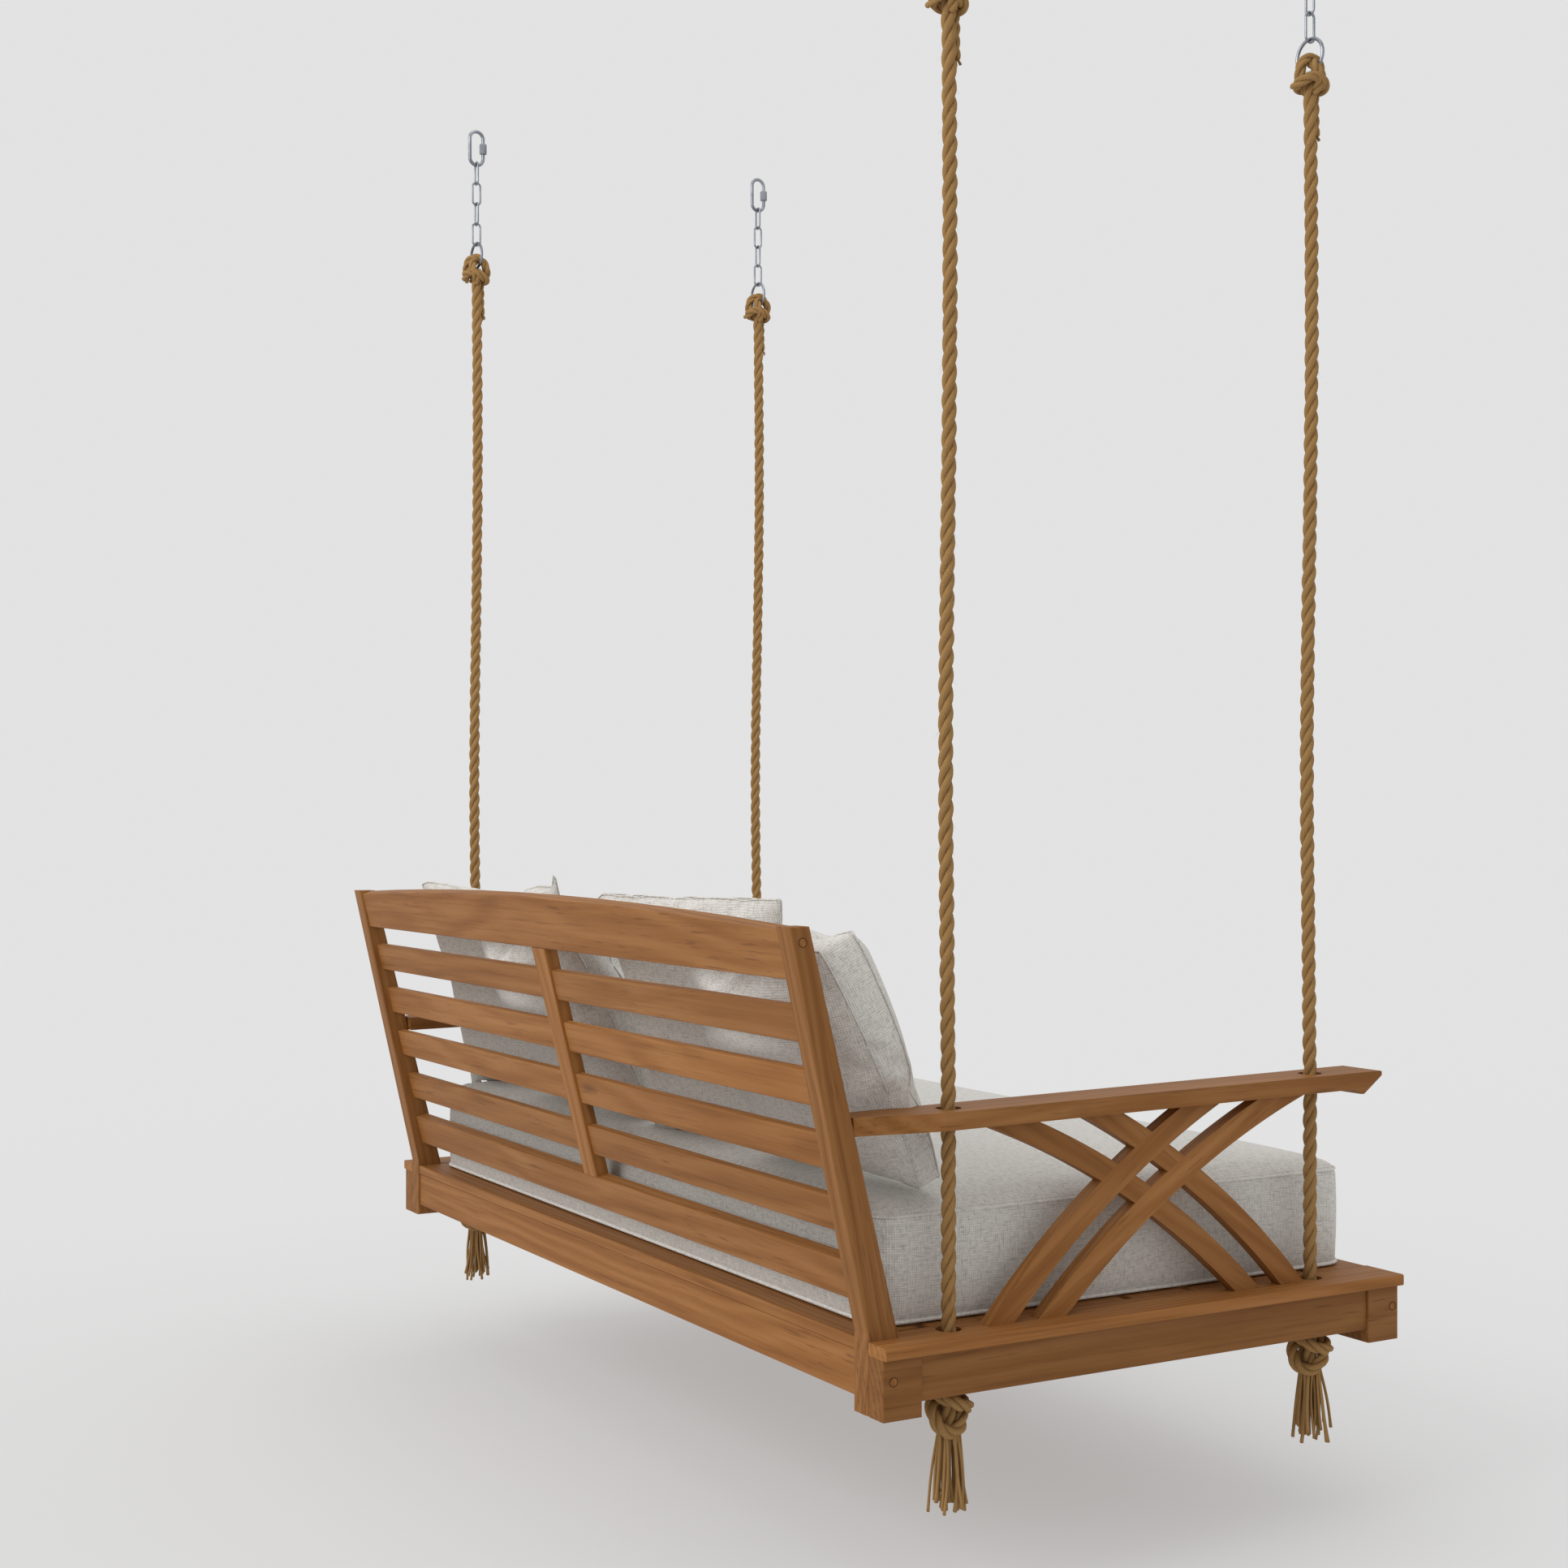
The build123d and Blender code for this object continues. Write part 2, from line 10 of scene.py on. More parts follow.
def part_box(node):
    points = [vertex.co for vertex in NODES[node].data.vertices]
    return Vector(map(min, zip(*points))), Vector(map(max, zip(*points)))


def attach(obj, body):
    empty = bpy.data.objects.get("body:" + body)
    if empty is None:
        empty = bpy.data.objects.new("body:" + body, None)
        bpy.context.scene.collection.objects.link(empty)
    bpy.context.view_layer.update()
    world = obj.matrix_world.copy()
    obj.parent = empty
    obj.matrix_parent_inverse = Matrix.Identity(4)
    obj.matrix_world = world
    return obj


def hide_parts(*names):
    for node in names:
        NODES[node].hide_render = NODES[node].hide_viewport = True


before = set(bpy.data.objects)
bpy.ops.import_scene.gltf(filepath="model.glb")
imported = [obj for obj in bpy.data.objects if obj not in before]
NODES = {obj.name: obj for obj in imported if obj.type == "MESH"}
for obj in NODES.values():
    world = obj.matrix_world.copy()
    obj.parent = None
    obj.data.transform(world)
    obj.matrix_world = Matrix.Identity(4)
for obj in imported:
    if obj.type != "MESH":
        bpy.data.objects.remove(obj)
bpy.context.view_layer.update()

SCENE = bpy.context.scene

# ---- sizes and places, in metres and radians ---------------------------------------------------
CORNERS = ("rear_left", "front_left", "rear_right", "front_right")
BENCH = "bench"
FLOOR_Z = -2.48
ROPE_D = 0.020
KNOT_Z = -0.2819           # middle of the knot on the ring
ROPE_FOOT_Z = -1.831       # where the upper rope ends, inside the arm's hole
TAIL_LENGTH = 0.088        # the cut end that lies beside the rope under the upper knot
STOPPER_TOP_Z = -2.1933    # just under the side rail
STOPPER_HEIGHT = 0.064
KNOT_SIZE = 1.1
KNOT_FACING = math.radians(-122)    # how far the knots' points are turned about the upright line
TASSEL_LENGTH = 0.106
TASSEL_YARNS = 30
FRAY_YARNS = 9             # yarns that show at the cut end of the tail
FRAY_TURN = 2.4            # angle from one of them to the next, in radians
YARN_TURN = 2.39996        # the same in the tassel
BACK_SIZE = (0.436, 0.380, 0.182)   # the pillows with a boxed edge: width, height, thickness
BACK_EDGE = 0.056
BACK_LEAN = math.radians(26)
BACK_SHIFT = (0.0, -0.004, -0.012)  # from the middle of the CAD pillow
THROW_SIZE = (0.432, 0.448, 0.130)
THROW_EDGE = 0.006
THROW_LEAN = math.radians(18)
THROW_SHIFT = (0.0, -0.028, -0.022)
THROW_TURN = math.radians(17)       # both face a little towards +X
REAR_SETTLE = 0.3          # how much of the settling shows on the side that faces the slats
PILLOW_CELLS = 40          # cells along each side of a pillow's panel
CLOTH_PRESSURE = 4.0
CLOTH_FRAMES = 18
CLOTH_STIFFNESS = 18.0
SEAM_RADIUS = 0.0013
FOOT_BINS = 24             # places across a pillow where the sag of its foot is measured
FOOT_REACH = 0.75          # the share of a pillow's height that the straightened foot reaches up to
FOOT_SHARE = 0.95          # how much of the sag is taken out at the very foot
FOOT_FADE = 12             # how sharply that stops at the two sides
CUSHION_CROWN = 0.024      # how far the middle of the seat cushion rises
CUSHION_RIPPLE = 0.0030
EDGE_BAND = 0.030          # the band beside the cushion's edge that keeps the corners' shape
CUSHION_RADIUS = 0.040     # of the cushion's upright corners
PIPING_RADIUS = 0.0030     # the piping along the lower edge
TOP_SEAM_RADIUS = 0.0016   # and the finer seam along the upper one
PLUG_GAP_RADIUS = 0.00035
CHAIN_ROUGHNESS = 0.24
LINK_ROUGHNESS = 0.30      # the quick links and their nuts


def corner_place(corner):
    """The line that a corner's rope hangs on, as x and y."""
    low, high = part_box("rope_end_" + corner)
    return (low[0] + high[0]) / 2, (low[1] + high[1]) / 2


# ---- material nodes ----------------------------------------------------------------------------
class Shader:
    """A small helper that adds nodes to one material and links them."""

    def __init__(self, name):
        self.material = bpy.data.materials.new(name)
        self.material.use_nodes = True
        self.tree = self.material.node_tree
        self.bsdf = self.tree.nodes["Principled BSDF"]

    def add(self, kind, inputs=None, **settings):
        node = self.tree.nodes.new(kind)
        for key, value in settings.items():
            setattr(node, key, value)
        for key, value in (inputs or {}).items():
            if isinstance(value, bpy.types.NodeSocket):
                self.tree.links.new(value, node.inputs[key])
            else:
                node.inputs[key].default_value = value
        return node

    def link(self, socket, name):
        self.tree.links.new(socket, self.bsdf.inputs[name])

    def ramp(self, factor, *stops):
        """A colour ramp with stops of (place, colour)."""
        node = self.add("ShaderNodeValToRGB", {"Fac": factor})
        ramp = node.color_ramp
        while len(ramp.elements) < len(stops):
            ramp.elements.new(0.5)
        for element, (place, colour) in zip(ramp.elements, stops):
            element.position = place
            element.color = (*colour, 1.0)
        return node.outputs["Color"]

    def grey(self, factor, low, high):
        """factor squeezed from low..high to 0..1."""
        inputs = {"Value": factor, "From Min": low, "From Max": high}
        return self.add("ShaderNodeMapRange", inputs).outputs["Result"]

    def mix(self, factor, first, second, blend="MIX"):
        node = self.add("ShaderNodeMix", data_type="RGBA", blend_type=blend)
        for key, value in ((0, factor), (6, first), (7, second)):
            if isinstance(value, bpy.types.NodeSocket):
                self.tree.links.new(value, node.inputs[key])
            else:
                node.inputs[key].default_value = value if key == 0 else (*value, 1.0)
        return node.outputs[2]

    def maths(self, operation, first, second):
        node = self.add("ShaderNodeMath", operation=operation)
        for key, value in ((0, first), (1, second)):
            if isinstance(value, bpy.types.NodeSocket):
                self.tree.links.new(value, node.inputs[key])
            else:
                node.inputs[key].default_value = value
        return node.outputs["Value"]

    def dot(self, first, second):
        inputs = {0: first, 1: second}
        return self.add("ShaderNodeVectorMath", inputs, operation="DOT_PRODUCT").outputs["Value"]

    def weighed(self, *terms):
        """The sum of (value, weight) terms."""
        total = None
        for value, weight in terms:
            term = self.maths("MULTIPLY", value, weight)
            total = term if total is None else self.maths("ADD", total, term)
        return total

    def noise(self, vector, scale, detail=3.0, roughness=0.55):
        inputs = {"Vector": vector, "Scale": scale, "Detail": detail, "Roughness": roughness}
        return self.add("ShaderNodeTexNoise", inputs).outputs["Fac"]

    def scaled(self, vector, x, y, z, move=(0, 0, 0)):
        inputs = {"Vector": vector, "Scale": (x, y, z), "Location": move}
        return self.add("ShaderNodeMapping", inputs).outputs["Vector"]

    def bump(self, height, strength, distance, below=None):
        inputs = {"Height": height, "Strength": strength, "Distance": distance}
        if below is not None:
            inputs["Normal"] = below
        return self.add("ShaderNodeBump", inputs).outputs["Normal"]


# ---- teak --------------------------------------------------------------------------------------
TEAK_DARK = (0.115, 0.040, 0.010)
TEAK_LOW = (0.178, 0.066, 0.014)
TEAK_MID = (0.258, 0.104, 0.025)
TEAK_LIGHT = (0.345, 0.158, 0.050)
TEAK_PORE = (0.060, 0.020, 0.006)


def teak(name, grain, seed, tint=1.0):
    """Oiled teak whose grain runs along the given direction."""
    shader = Shader(name)
    along = Vector(grain).normalized()
    side = along.cross(Vector((0.31, 0.42, 0.85))).normalized()
    up = along.cross(side)
    place = shader.add("ShaderNodeTexCoord").outputs["Object"]
    inputs = {"X": shader.dot(place, along), "Y": shader.dot(place, side), "Z": shader.dot(place, up)}
    lined = shader.add("ShaderNodeCombineXYZ", inputs).outputs["Vector"]
    move = (seed * 1.37, seed * 0.73, seed * 0.59)

    # soft growth bands that run nearly straight, with a slow wander
    warp = shader.noise(shader.scaled(lined, 1.1, 5, 5, move), 1.0, 2.0)
    inputs = {0: (0.0, 2.6, 2.6), "Scale": warp}
    warped = shader.add("ShaderNodeVectorMath", inputs, operation="SCALE")
    rings_at = shader.scaled(lined, 0.30, 34, 34, move)
    warped = shader.add("ShaderNodeVectorMath", {0: rings_at, 1: warped.outputs[0]}).outputs[0]
    inputs = {"Vector": warped, "Scale": 0.75, "Distortion": 2.2, "Detail": 3.0, "Detail Scale": 1.1}
    wave = shader.add("ShaderNodeTexWave", inputs, bands_direction="Y").outputs["Fac"]
    broad = shader.noise(shader.scaled(lined, 1.3, 40, 40, move), 1.0, 5.0, 0.62)
    streak = shader.noise(shader.scaled(lined, 3.5, 150, 150, move), 1.0, 4.0, 0.65)
    fleck = shader.noise(shader.scaled(lined, 13, 260, 260, move), 1.0, 2.0, 0.5)
    pores = shader.noise(shader.scaled(lined, 26, 900, 900, move), 1.0, 2.0, 0.6)
    patch = shader.noise(shader.scaled(lined, 2.2, 6.0, 6.0, move), 1.0, 2.0)

    figure = shader.weighed((wave, 0.18), (broad, 0.56), (patch, 0.30))
    base = shader.ramp(figure, (0.22, TEAK_LOW), (0.46, TEAK_MID), (0.76, TEAK_LIGHT))
    dark_streaks = shader.grey(streak, 0.54, 0.80)
    colour = shader.mix(shader.maths("MULTIPLY", dark_streaks, 0.62), base, TEAK_DARK)
    light_streaks = shader.grey(streak, 0.44, 0.25)
    colour = shader.mix(shader.maths("MULTIPLY", light_streaks, 0.30), colour, TEAK_LIGHT)
    fleck_mask = shader.maths("MULTIPLY", shader.grey(fleck, 0.60, 0.70), shader.grey(patch, 0.42, 0.62))
    colour = shader.mix(shader.maths("MULTIPLY", fleck_mask, 0.60), colour, TEAK_DARK)
    pore_mask = shader.grey(pores, 0.62, 0.80)
    colour = shader.mix(shader.maths("MULTIPLY", pore_mask, 0.32), colour, TEAK_PORE)

    # a few small knots, drawn out along the grain
    cells = shader.scaled(lined, 2.6, 9.5, 9.5, move)
    knots = shader.add("ShaderNodeTexVoronoi", {"Vector": cells, "Scale": 1.0}).outputs["Distance"]
    knot_mask = shader.grey(knots, 0.115, 0.05)
    colour = shader.mix(shader.maths("MULTIPLY", knot_mask, 0.65), colour, TEAK_DARK)
    colour = shader.mix(1.0, colour, (tint, tint * 0.985, tint * 0.96), "MULTIPLY")
    shader.link(colour, "Base Color")

    inputs = {"Value": streak, "To Min": 0.46, "To Max": 0.66}
    shader.link(shader.add("ShaderNodeMapRange", inputs).outputs["Result"], "Roughness")
    shader.bsdf.inputs["Specular IOR Level"].default_value = 0.18
    height = shader.weighed((streak, 0.6), (pores, -0.5))
    shader.link(shader.bump(height, 0.35, 0.0006), "Normal")
    return shader.material


def grain_of(node):
    """The direction of the grain in a wooden node: set for groups and blocks, else its longest way."""
    if node.startswith(("seat_slats", "wood_plugs")):
        return (1, 0, 0)
    if node.startswith(("seat_bearers", "corner_block")):
        return (0, 1, 0)
    points = np.array([vertex.co for vertex in NODES[node].data.vertices])
    spread = np.cov((points - points.mean(axis=0)).T)
    return tuple(float(number) for number in np.linalg.eigh(spread)[1][:, 2])


def give(obj, material):
    """The object wears this one material."""
    obj.data.materials.clear()
    obj.data.materials.append(material)


# ---- steel -------------------------------------------------------------------------------------
def zinc(name, roughness):
    """Zinc plate, faintly clouded, with patches that are rubbed smoother."""
    shader = Shader(name)
    place = shader.add("ShaderNodeTexCoord").outputs["Object"]
    patches = shader.noise(place, 90.0, 2.0)
    cloud = shader.noise(place, 34.0, 2.0)
    colour = shader.ramp(cloud, (0.3, (0.19, 0.20, 0.225)), (0.7, (0.37, 0.385, 0.42)))
    shader.link(colour, "Base Color")
    shader.bsdf.inputs["Metallic"].default_value = 1.0
    inputs = {"Value": patches, "To Min": roughness - 0.06, "To Max": roughness + 0.10}
    shader.link(shader.add("ShaderNodeMapRange", inputs).outputs["Result"], "Roughness")
    return shader.material


# ---- manila rope -------------------------------------------------------------------------------
ROPE_DARK = (0.095, 0.046, 0.014)
ROPE_MID = (0.310, 0.175, 0.066)
ROPE_LIGHT = (0.530, 0.350, 0.170)


def manila(name, lightness=1.0):
    """Hairy fibres that run along each strand: the strand's U goes round it and V along it."""
    shader = Shader(name)
    route = shader.add("ShaderNodeTexCoord").outputs["UV"]
    place = shader.add("ShaderNodeTexCoord").outputs["Object"]
    fibre = shader.noise(shader.scaled(route, 11, 34, 1), 1.0, 4.0, 0.7)
    thread = shader.noise(shader.scaled(route, 30, 14, 1, (3, 1, 0)), 1.0, 3.0, 0.6)
    cloud = shader.noise(place, 13.0, 2.0)
    tone = shader.weighed((fibre, 0.55), (thread, 0.45))
    colour = shader.ramp(tone, (0.32, ROPE_DARK), (0.50, ROPE_MID), (0.70, ROPE_LIGHT))
    colour = shader.mix(shader.grey(cloud, 0.3, 0.8), colour, ROPE_MID)
    colour = shader.mix(1.0, colour, (lightness, lightness, lightness * 0.95), "MULTIPLY")
    shader.link(colour, "Base Color")
    shader.bsdf.inputs["Roughness"].default_value = 0.78
    shader.bsdf.inputs["Specular IOR Level"].default_value = 0.15
    shader.link(shader.bump(tone, 0.75, 0.0011), "Normal")
    return shader.material


# ---- woven fabric ------------------------------------------------------------------------------
FABRIC_LIGHT = (0.700, 0.680, 0.640)
FABRIC_MID = (0.540, 0.522, 0.485)
FABRIC_DARK = (0.280, 0.266, 0.240)
YARN = 0.0034              # spacing of the yarns


def linen(name, lightness=1.0):
    """A plain weave of slubby yarns in warm grey, on UVs that are in metres."""
    shader = Shader(name)
    cloth = shader.add("ShaderNodeTexCoord").outputs["UV"]
    wobble = shader.noise(cloth, 60.0, 2.0)
    inputs = {0: (0.0012, 0.0012, 0), "Scale": wobble}
    bent = shader.add("ShaderNodeVectorMath", inputs, operation="SCALE")
    bent = shader.add("ShaderNodeVectorMath", {0: cloth, 1: bent.outputs[0]}).outputs[0]
    bands = math.pi / (10 * YARN)
    inputs = {"Vector": bent, "Scale": bands}
    warp = shader.add("ShaderNodeTexWave", inputs, bands_direction="X").outputs["Fac"]
    weft = shader.add("ShaderNodeTexWave", inputs, bands_direction="Y").outputs["Fac"]
    weave = shader.weighed((warp, 0.5), (weft, 0.5))
    gaps = shader.grey(weave, 0.42, 0.12)
    slub_a = shader.noise(shader.scaled(cloth, 70, 300, 1), 1.0, 3.0, 0.6)
    slub_b = shader.noise(shader.scaled(cloth, 300, 70, 1, (5, 2, 0)), 1.0, 3.0, 0.6)
    speckle = shader.noise(shader.scaled(cloth, 240, 240, 1, (1, 7, 0)), 1.0, 2.0, 0.5)
    cloud = shader.noise(shader.scaled(cloth, 9, 9, 1), 1.0, 2.0)
    slubs = shader.maths("MAXIMUM", slub_a, slub_b)
    colour = shader.ramp(slubs, (0.48, FABRIC_LIGHT), (0.63, FABRIC_MID), (0.82, FABRIC_DARK))
    layers = (
        (gaps, 0.55, FABRIC_DARK),
        (shader.grey(speckle, 0.60, 0.78), 0.35, FABRIC_DARK),
        (shader.grey(speckle, 0.42, 0.25), 0.5, FABRIC_LIGHT),
        (shader.grey(cloud, 0.45, 0.8), 0.2, FABRIC_MID),
    )
    for mask, strength, tone in layers:
        colour = shader.mix(shader.maths("MULTIPLY", mask, strength), colour, tone)
    colour = shader.mix(1.0, colour, (lightness, lightness, lightness), "MULTIPLY")
    shader.link(colour, "Base Color")
    shader.bsdf.inputs["Roughness"].default_value = 0.88
    shader.bsdf.inputs["Specular IOR Level"].default_value = 0.18
    shader.bsdf.inputs["Sheen Weight"].default_value = 0.18
    shader.bsdf.inputs["Sheen Roughness"].default_value = 0.5
    shader.link(shader.bump(slubs, 0.35, 0.0008, shader.bump(weave, 0.5, 0.0006)), "Normal")
    return shader.material


# ---- mesh helpers ------------------------------------------------------------------------------
def new_object(name, vertices, faces, uvs=None, smooth=True):
    """A mesh object. uvs is one pair for each corner of each face, face by face."""
    mesh = bpy.data.meshes.new(name)
    mesh.from_pydata([tuple(v) for v in vertices], [], faces)
    if smooth:
        mesh.polygons.foreach_set("use_smooth", [True] * len(mesh.polygons))
    if uvs:
        layer = mesh.uv_layers.new(name="UVMap")
        layer.data.foreach_set("uv", [number for pair in uvs for number in pair])
    mesh.validate()
    obj = bpy.data.objects.new(name, mesh)
    SCENE.collection.objects.link(obj)
    return obj


def frames_along(points):
    """For each point: itself, its direction, and two directions across that turn as little as they can."""
    out = []
    across = None
    for number, point in enumerate(points):
        after = points[min(number + 1, len(points) - 1)]
        before = points[max(number - 1, 0)]
        ahead = (after - before).normalized()
        if across is None:
            across = Vector((1, 0, 0)) if abs(ahead.x) < 0.8 else Vector((0, 1, 0))
        across = (across - ahead * across.dot(ahead)).normalized()
        out.append((point, ahead, across, ahead.cross(across)))
    return out


class Tubes:
    """Gathers round tubes with rounded ends into one mesh."""

    def __init__(self):
        self.vertices = []
        self.faces = []
        self.uvs = []

    def add(self, points, radius, sides, uv_start=0.0, shape=None):
        """A tube along the points. radius is a number or a function of 0..1 along it."""
        line = frames_along(points)
        first = len(self.vertices)
        run = uv_start
        runs = []
        for number, (point, _, across, other) in enumerate(line):
            if number:
                run += (point - line[number - 1][0]).length
            runs.append(run * 50)
            t = number / (len(line) - 1)
            size = radius(t) if callable(radius) else radius
            for side in range(sides):
                angle = 2 * math.pi * side / sides
                swell = shape(angle, run) if shape else 1.0
                spot = across * math.cos(angle) + other * math.sin(angle)
                self.vertices.append(point + spot * (size * swell))
        for number in range(len(line) - 1):
            for side in range(sides):
                here = first + number * sides + side
                beside = first + number * sides + (side + 1) % sides
                self.faces.append((here, beside, beside + sides, here + sides))
                left, right = side / sides, (side + 1) / sides
                low, high = runs[number], runs[number + 1]
                self.uvs += [(left, low), (right, low), (right, high), (left, high)]
        for row, ends, sign in ((0, line[0], -1), (len(line) - 1, line[-1], 1)):
            t = row / (len(line) - 1)
            size = radius(t) if callable(radius) else radius
            tip = len(self.vertices)
            self.vertices.append(ends[0] + ends[1] * (sign * size * 0.5))
            for side in range(sides):
                here = first + row * sides + side
                beside = first + row * sides + (side + 1) % sides
                face = (here, tip, beside) if sign < 0 else (here, beside, tip)
                self.faces.append(face)
                self.uvs += [(side / sides, runs[row]), (0.5, runs[row]), (side / sides, runs[row])]

    def build(self, name):
        return new_object(name, self.vertices, self.faces, self.uvs)


def smooth_route(points, per_point):
    """The points that a NURBS spline with these control points follows."""
    curve = bpy.data.curves.new("route", "CURVE")
    curve.dimensions = "3D"
    spline = curve.splines.new("NURBS")
    spline.points.add(len(points) - 1)
    for target, point in zip(spline.points, points):
        target.co = (*point, 1.0)
    spline.order_u = 3
    spline.use_endpoint_u = True
    spline.resolution_u = per_point
    carrier = bpy.data.objects.new("route", curve)
    SCENE.collection.objects.link(carrier)
    bpy.context.view_layer.update()
    mesh = bpy.data.meshes.new_from_object(carrier)
    line = [Vector(v.co) for v in mesh.vertices]
    bpy.data.objects.remove(carrier)
    bpy.data.meshes.remove(mesh)
    bpy.data.curves.remove(curve)
    return line


def even(points, step):
    """The same line with its points about one step apart."""
    out = [points[0].copy()]
    left = step
    for before, after in zip(points, points[1:]):
        length = (after - before).length
        if length < 1e-9:
            continue
        done = 0.0
        while length - done >= left:
            done += left
            out.append(before.lerp(after, done / length))
            left = step
        left -= length - done
    if (out[-1] - points[-1]).length > step * 0.3:
        out.append(points[-1].copy())
    return out


STRAND_PITCH = 0.078       # length of one turn of the lay
STRAND_RADIUS = 0.0051
STRAND_OFFSET = 0.0054     # from the middle of the rope to the middle of a strand
STRAND_SIDES = 14
STRAND_WANDER = 0.07       # how unevenly the strands lie
YARN_RIDGE = 0.055         # how far the yarns stand out of a strand
YARN_TWIST = 150           # how fast they run round it, in radians per metre
FIBRE_START = 0.0088       # from the middle of the rope to the root of a stray hair
FIBRE_RADIUS = 0.00022
UPPER_FIBRES = 150
LOWER_FIBRES = 34
BIGHT_D = 0.0165           # the rope is squeezed thinner where it is knotted
BAND_D = 0.0160
TAIL_D = 0.0135
WRAP_D = 0.0185
STOPPER_BAND_D = 0.0180


def lay_strands(tubes, route, diameter, seed, step=0.0032):
    """Three strands twisted round the route, right-handed."""
    chance = random.Random(seed)
    scale = diameter / ROPE_D
    line = frames_along(even(route, step * scale))
    run = 0.0
    strands = ([], [], [])
    for number, (point, _, across, other) in enumerate(line):
        if number:
            run += (point - line[number - 1][0]).length
        for turn, strand in enumerate(strands):
            angle = 2 * math.pi * (run / (STRAND_PITCH * scale) + turn / 3)
            wander = 1 + STRAND_WANDER * noise.noise(Vector((run * 30, turn * 5.0, seed * 1.7)))
            reach = STRAND_OFFSET * scale * wander
            strand.append(point + (across * math.cos(angle) + other * math.sin(angle)) * reach)
    for strand in strands:
        phase = chance.random() * 9

        def ridges(angle, along, phase=phase):
            """Yarns inside the strand stand out a little and run slowly round it."""
            return 1 + YARN_RIDGE * math.sin(5 * angle + along * YARN_TWIST + phase)

        tubes.add(strand, STRAND_RADIUS * scale, STRAND_SIDES, phase, ridges)
    return line


def stray_fibres(tubes, line, count, seed):
    """Short hairs that stand off the rope."""
    chance = random.Random(seed)
    for _ in range(count):
        point, ahead, across, other = line[chance.randrange(2, len(line) - 2)]
        angle = chance.random() * 2 * math.pi
        out = across * math.cos(angle) + other * math.sin(angle)
        sideways = ahead.cross(out)
        start = point + out * FIBRE_START
        length = chance.uniform(0.006, 0.017)
        lift = chance.uniform(0.12, 0.45)
        swing = chance.uniform(-0.5, 0.5)
        hair = []
        for number in range(5):
            t = number / 4
            hair.append(start + (ahead * t + out * lift * t * t + sideways * swing * t * t) * length)
        tubes.add(hair, lambda t: FIBRE_RADIUS * (1.15 - t), 4)


# ---- cushions ----------------------------------------------------------------------------------
def metre_uvs(obj, across, up):
    """UVs in metres: each face is laid flat along its two steadiest directions."""
    mesh = obj.data
    depth = across.cross(up)
    layer = mesh.uv_layers.get("UVMap") or mesh.uv_layers.new(name="UVMap")
    for face in mesh.polygons:
        weights = [abs(face.normal.dot(direction)) for direction in (across, up, depth)]
        strongest = weights.index(max(weights))
        if strongest == 0:
            pair, shift = (depth, up), 3.1
        elif strongest == 1:
            pair, shift = (across, depth), 6.3
        else:
            pair, shift = (across, up), 0.0
        for loop in face.loop_indices:
            place = mesh.vertices[mesh.loops[loop].vertex_index].co
            layer.data[loop].uv = (place.dot(pair[0]) + shift, place.dot(pair[1]))


def apply_modifiers(obj):
    """Bakes the object's modifiers into its mesh."""
    graph = bpy.context.evaluated_depsgraph_get()
    mesh = bpy.data.meshes.new_from_object(obj.evaluated_get(graph))
    obj.modifiers.clear()
    old = obj.data
    obj.data = mesh
    bpy.data.meshes.remove(old)


def inflate(obj):
    """Blows the closed mesh up as cloth, then keeps the result."""
    cloth = obj.modifiers.new("cloth", "CLOTH")
    settings = cloth.settings
    settings.quality = 6
    settings.mass = 0.3
    settings.tension_stiffness = CLOTH_STIFFNESS
    settings.compression_stiffness = CLOTH_STIFFNESS
    settings.shear_stiffness = CLOTH_STIFFNESS * 0.5
    settings.bending_stiffness = 1.2
    settings.use_pressure = True
    settings.uniform_pressure_force = CLOTH_PRESSURE
    settings.effector_weights.gravity = 0
    cloth.collision_settings.use_collision = False
    cloth.point_cache.frame_start = 1
    cloth.point_cache.frame_end = CLOTH_FRAMES
    for number in range(1, CLOTH_FRAMES + 1):
        SCENE.frame_set(number)
    apply_modifiers(obj)
    SCENE.frame_set(1)


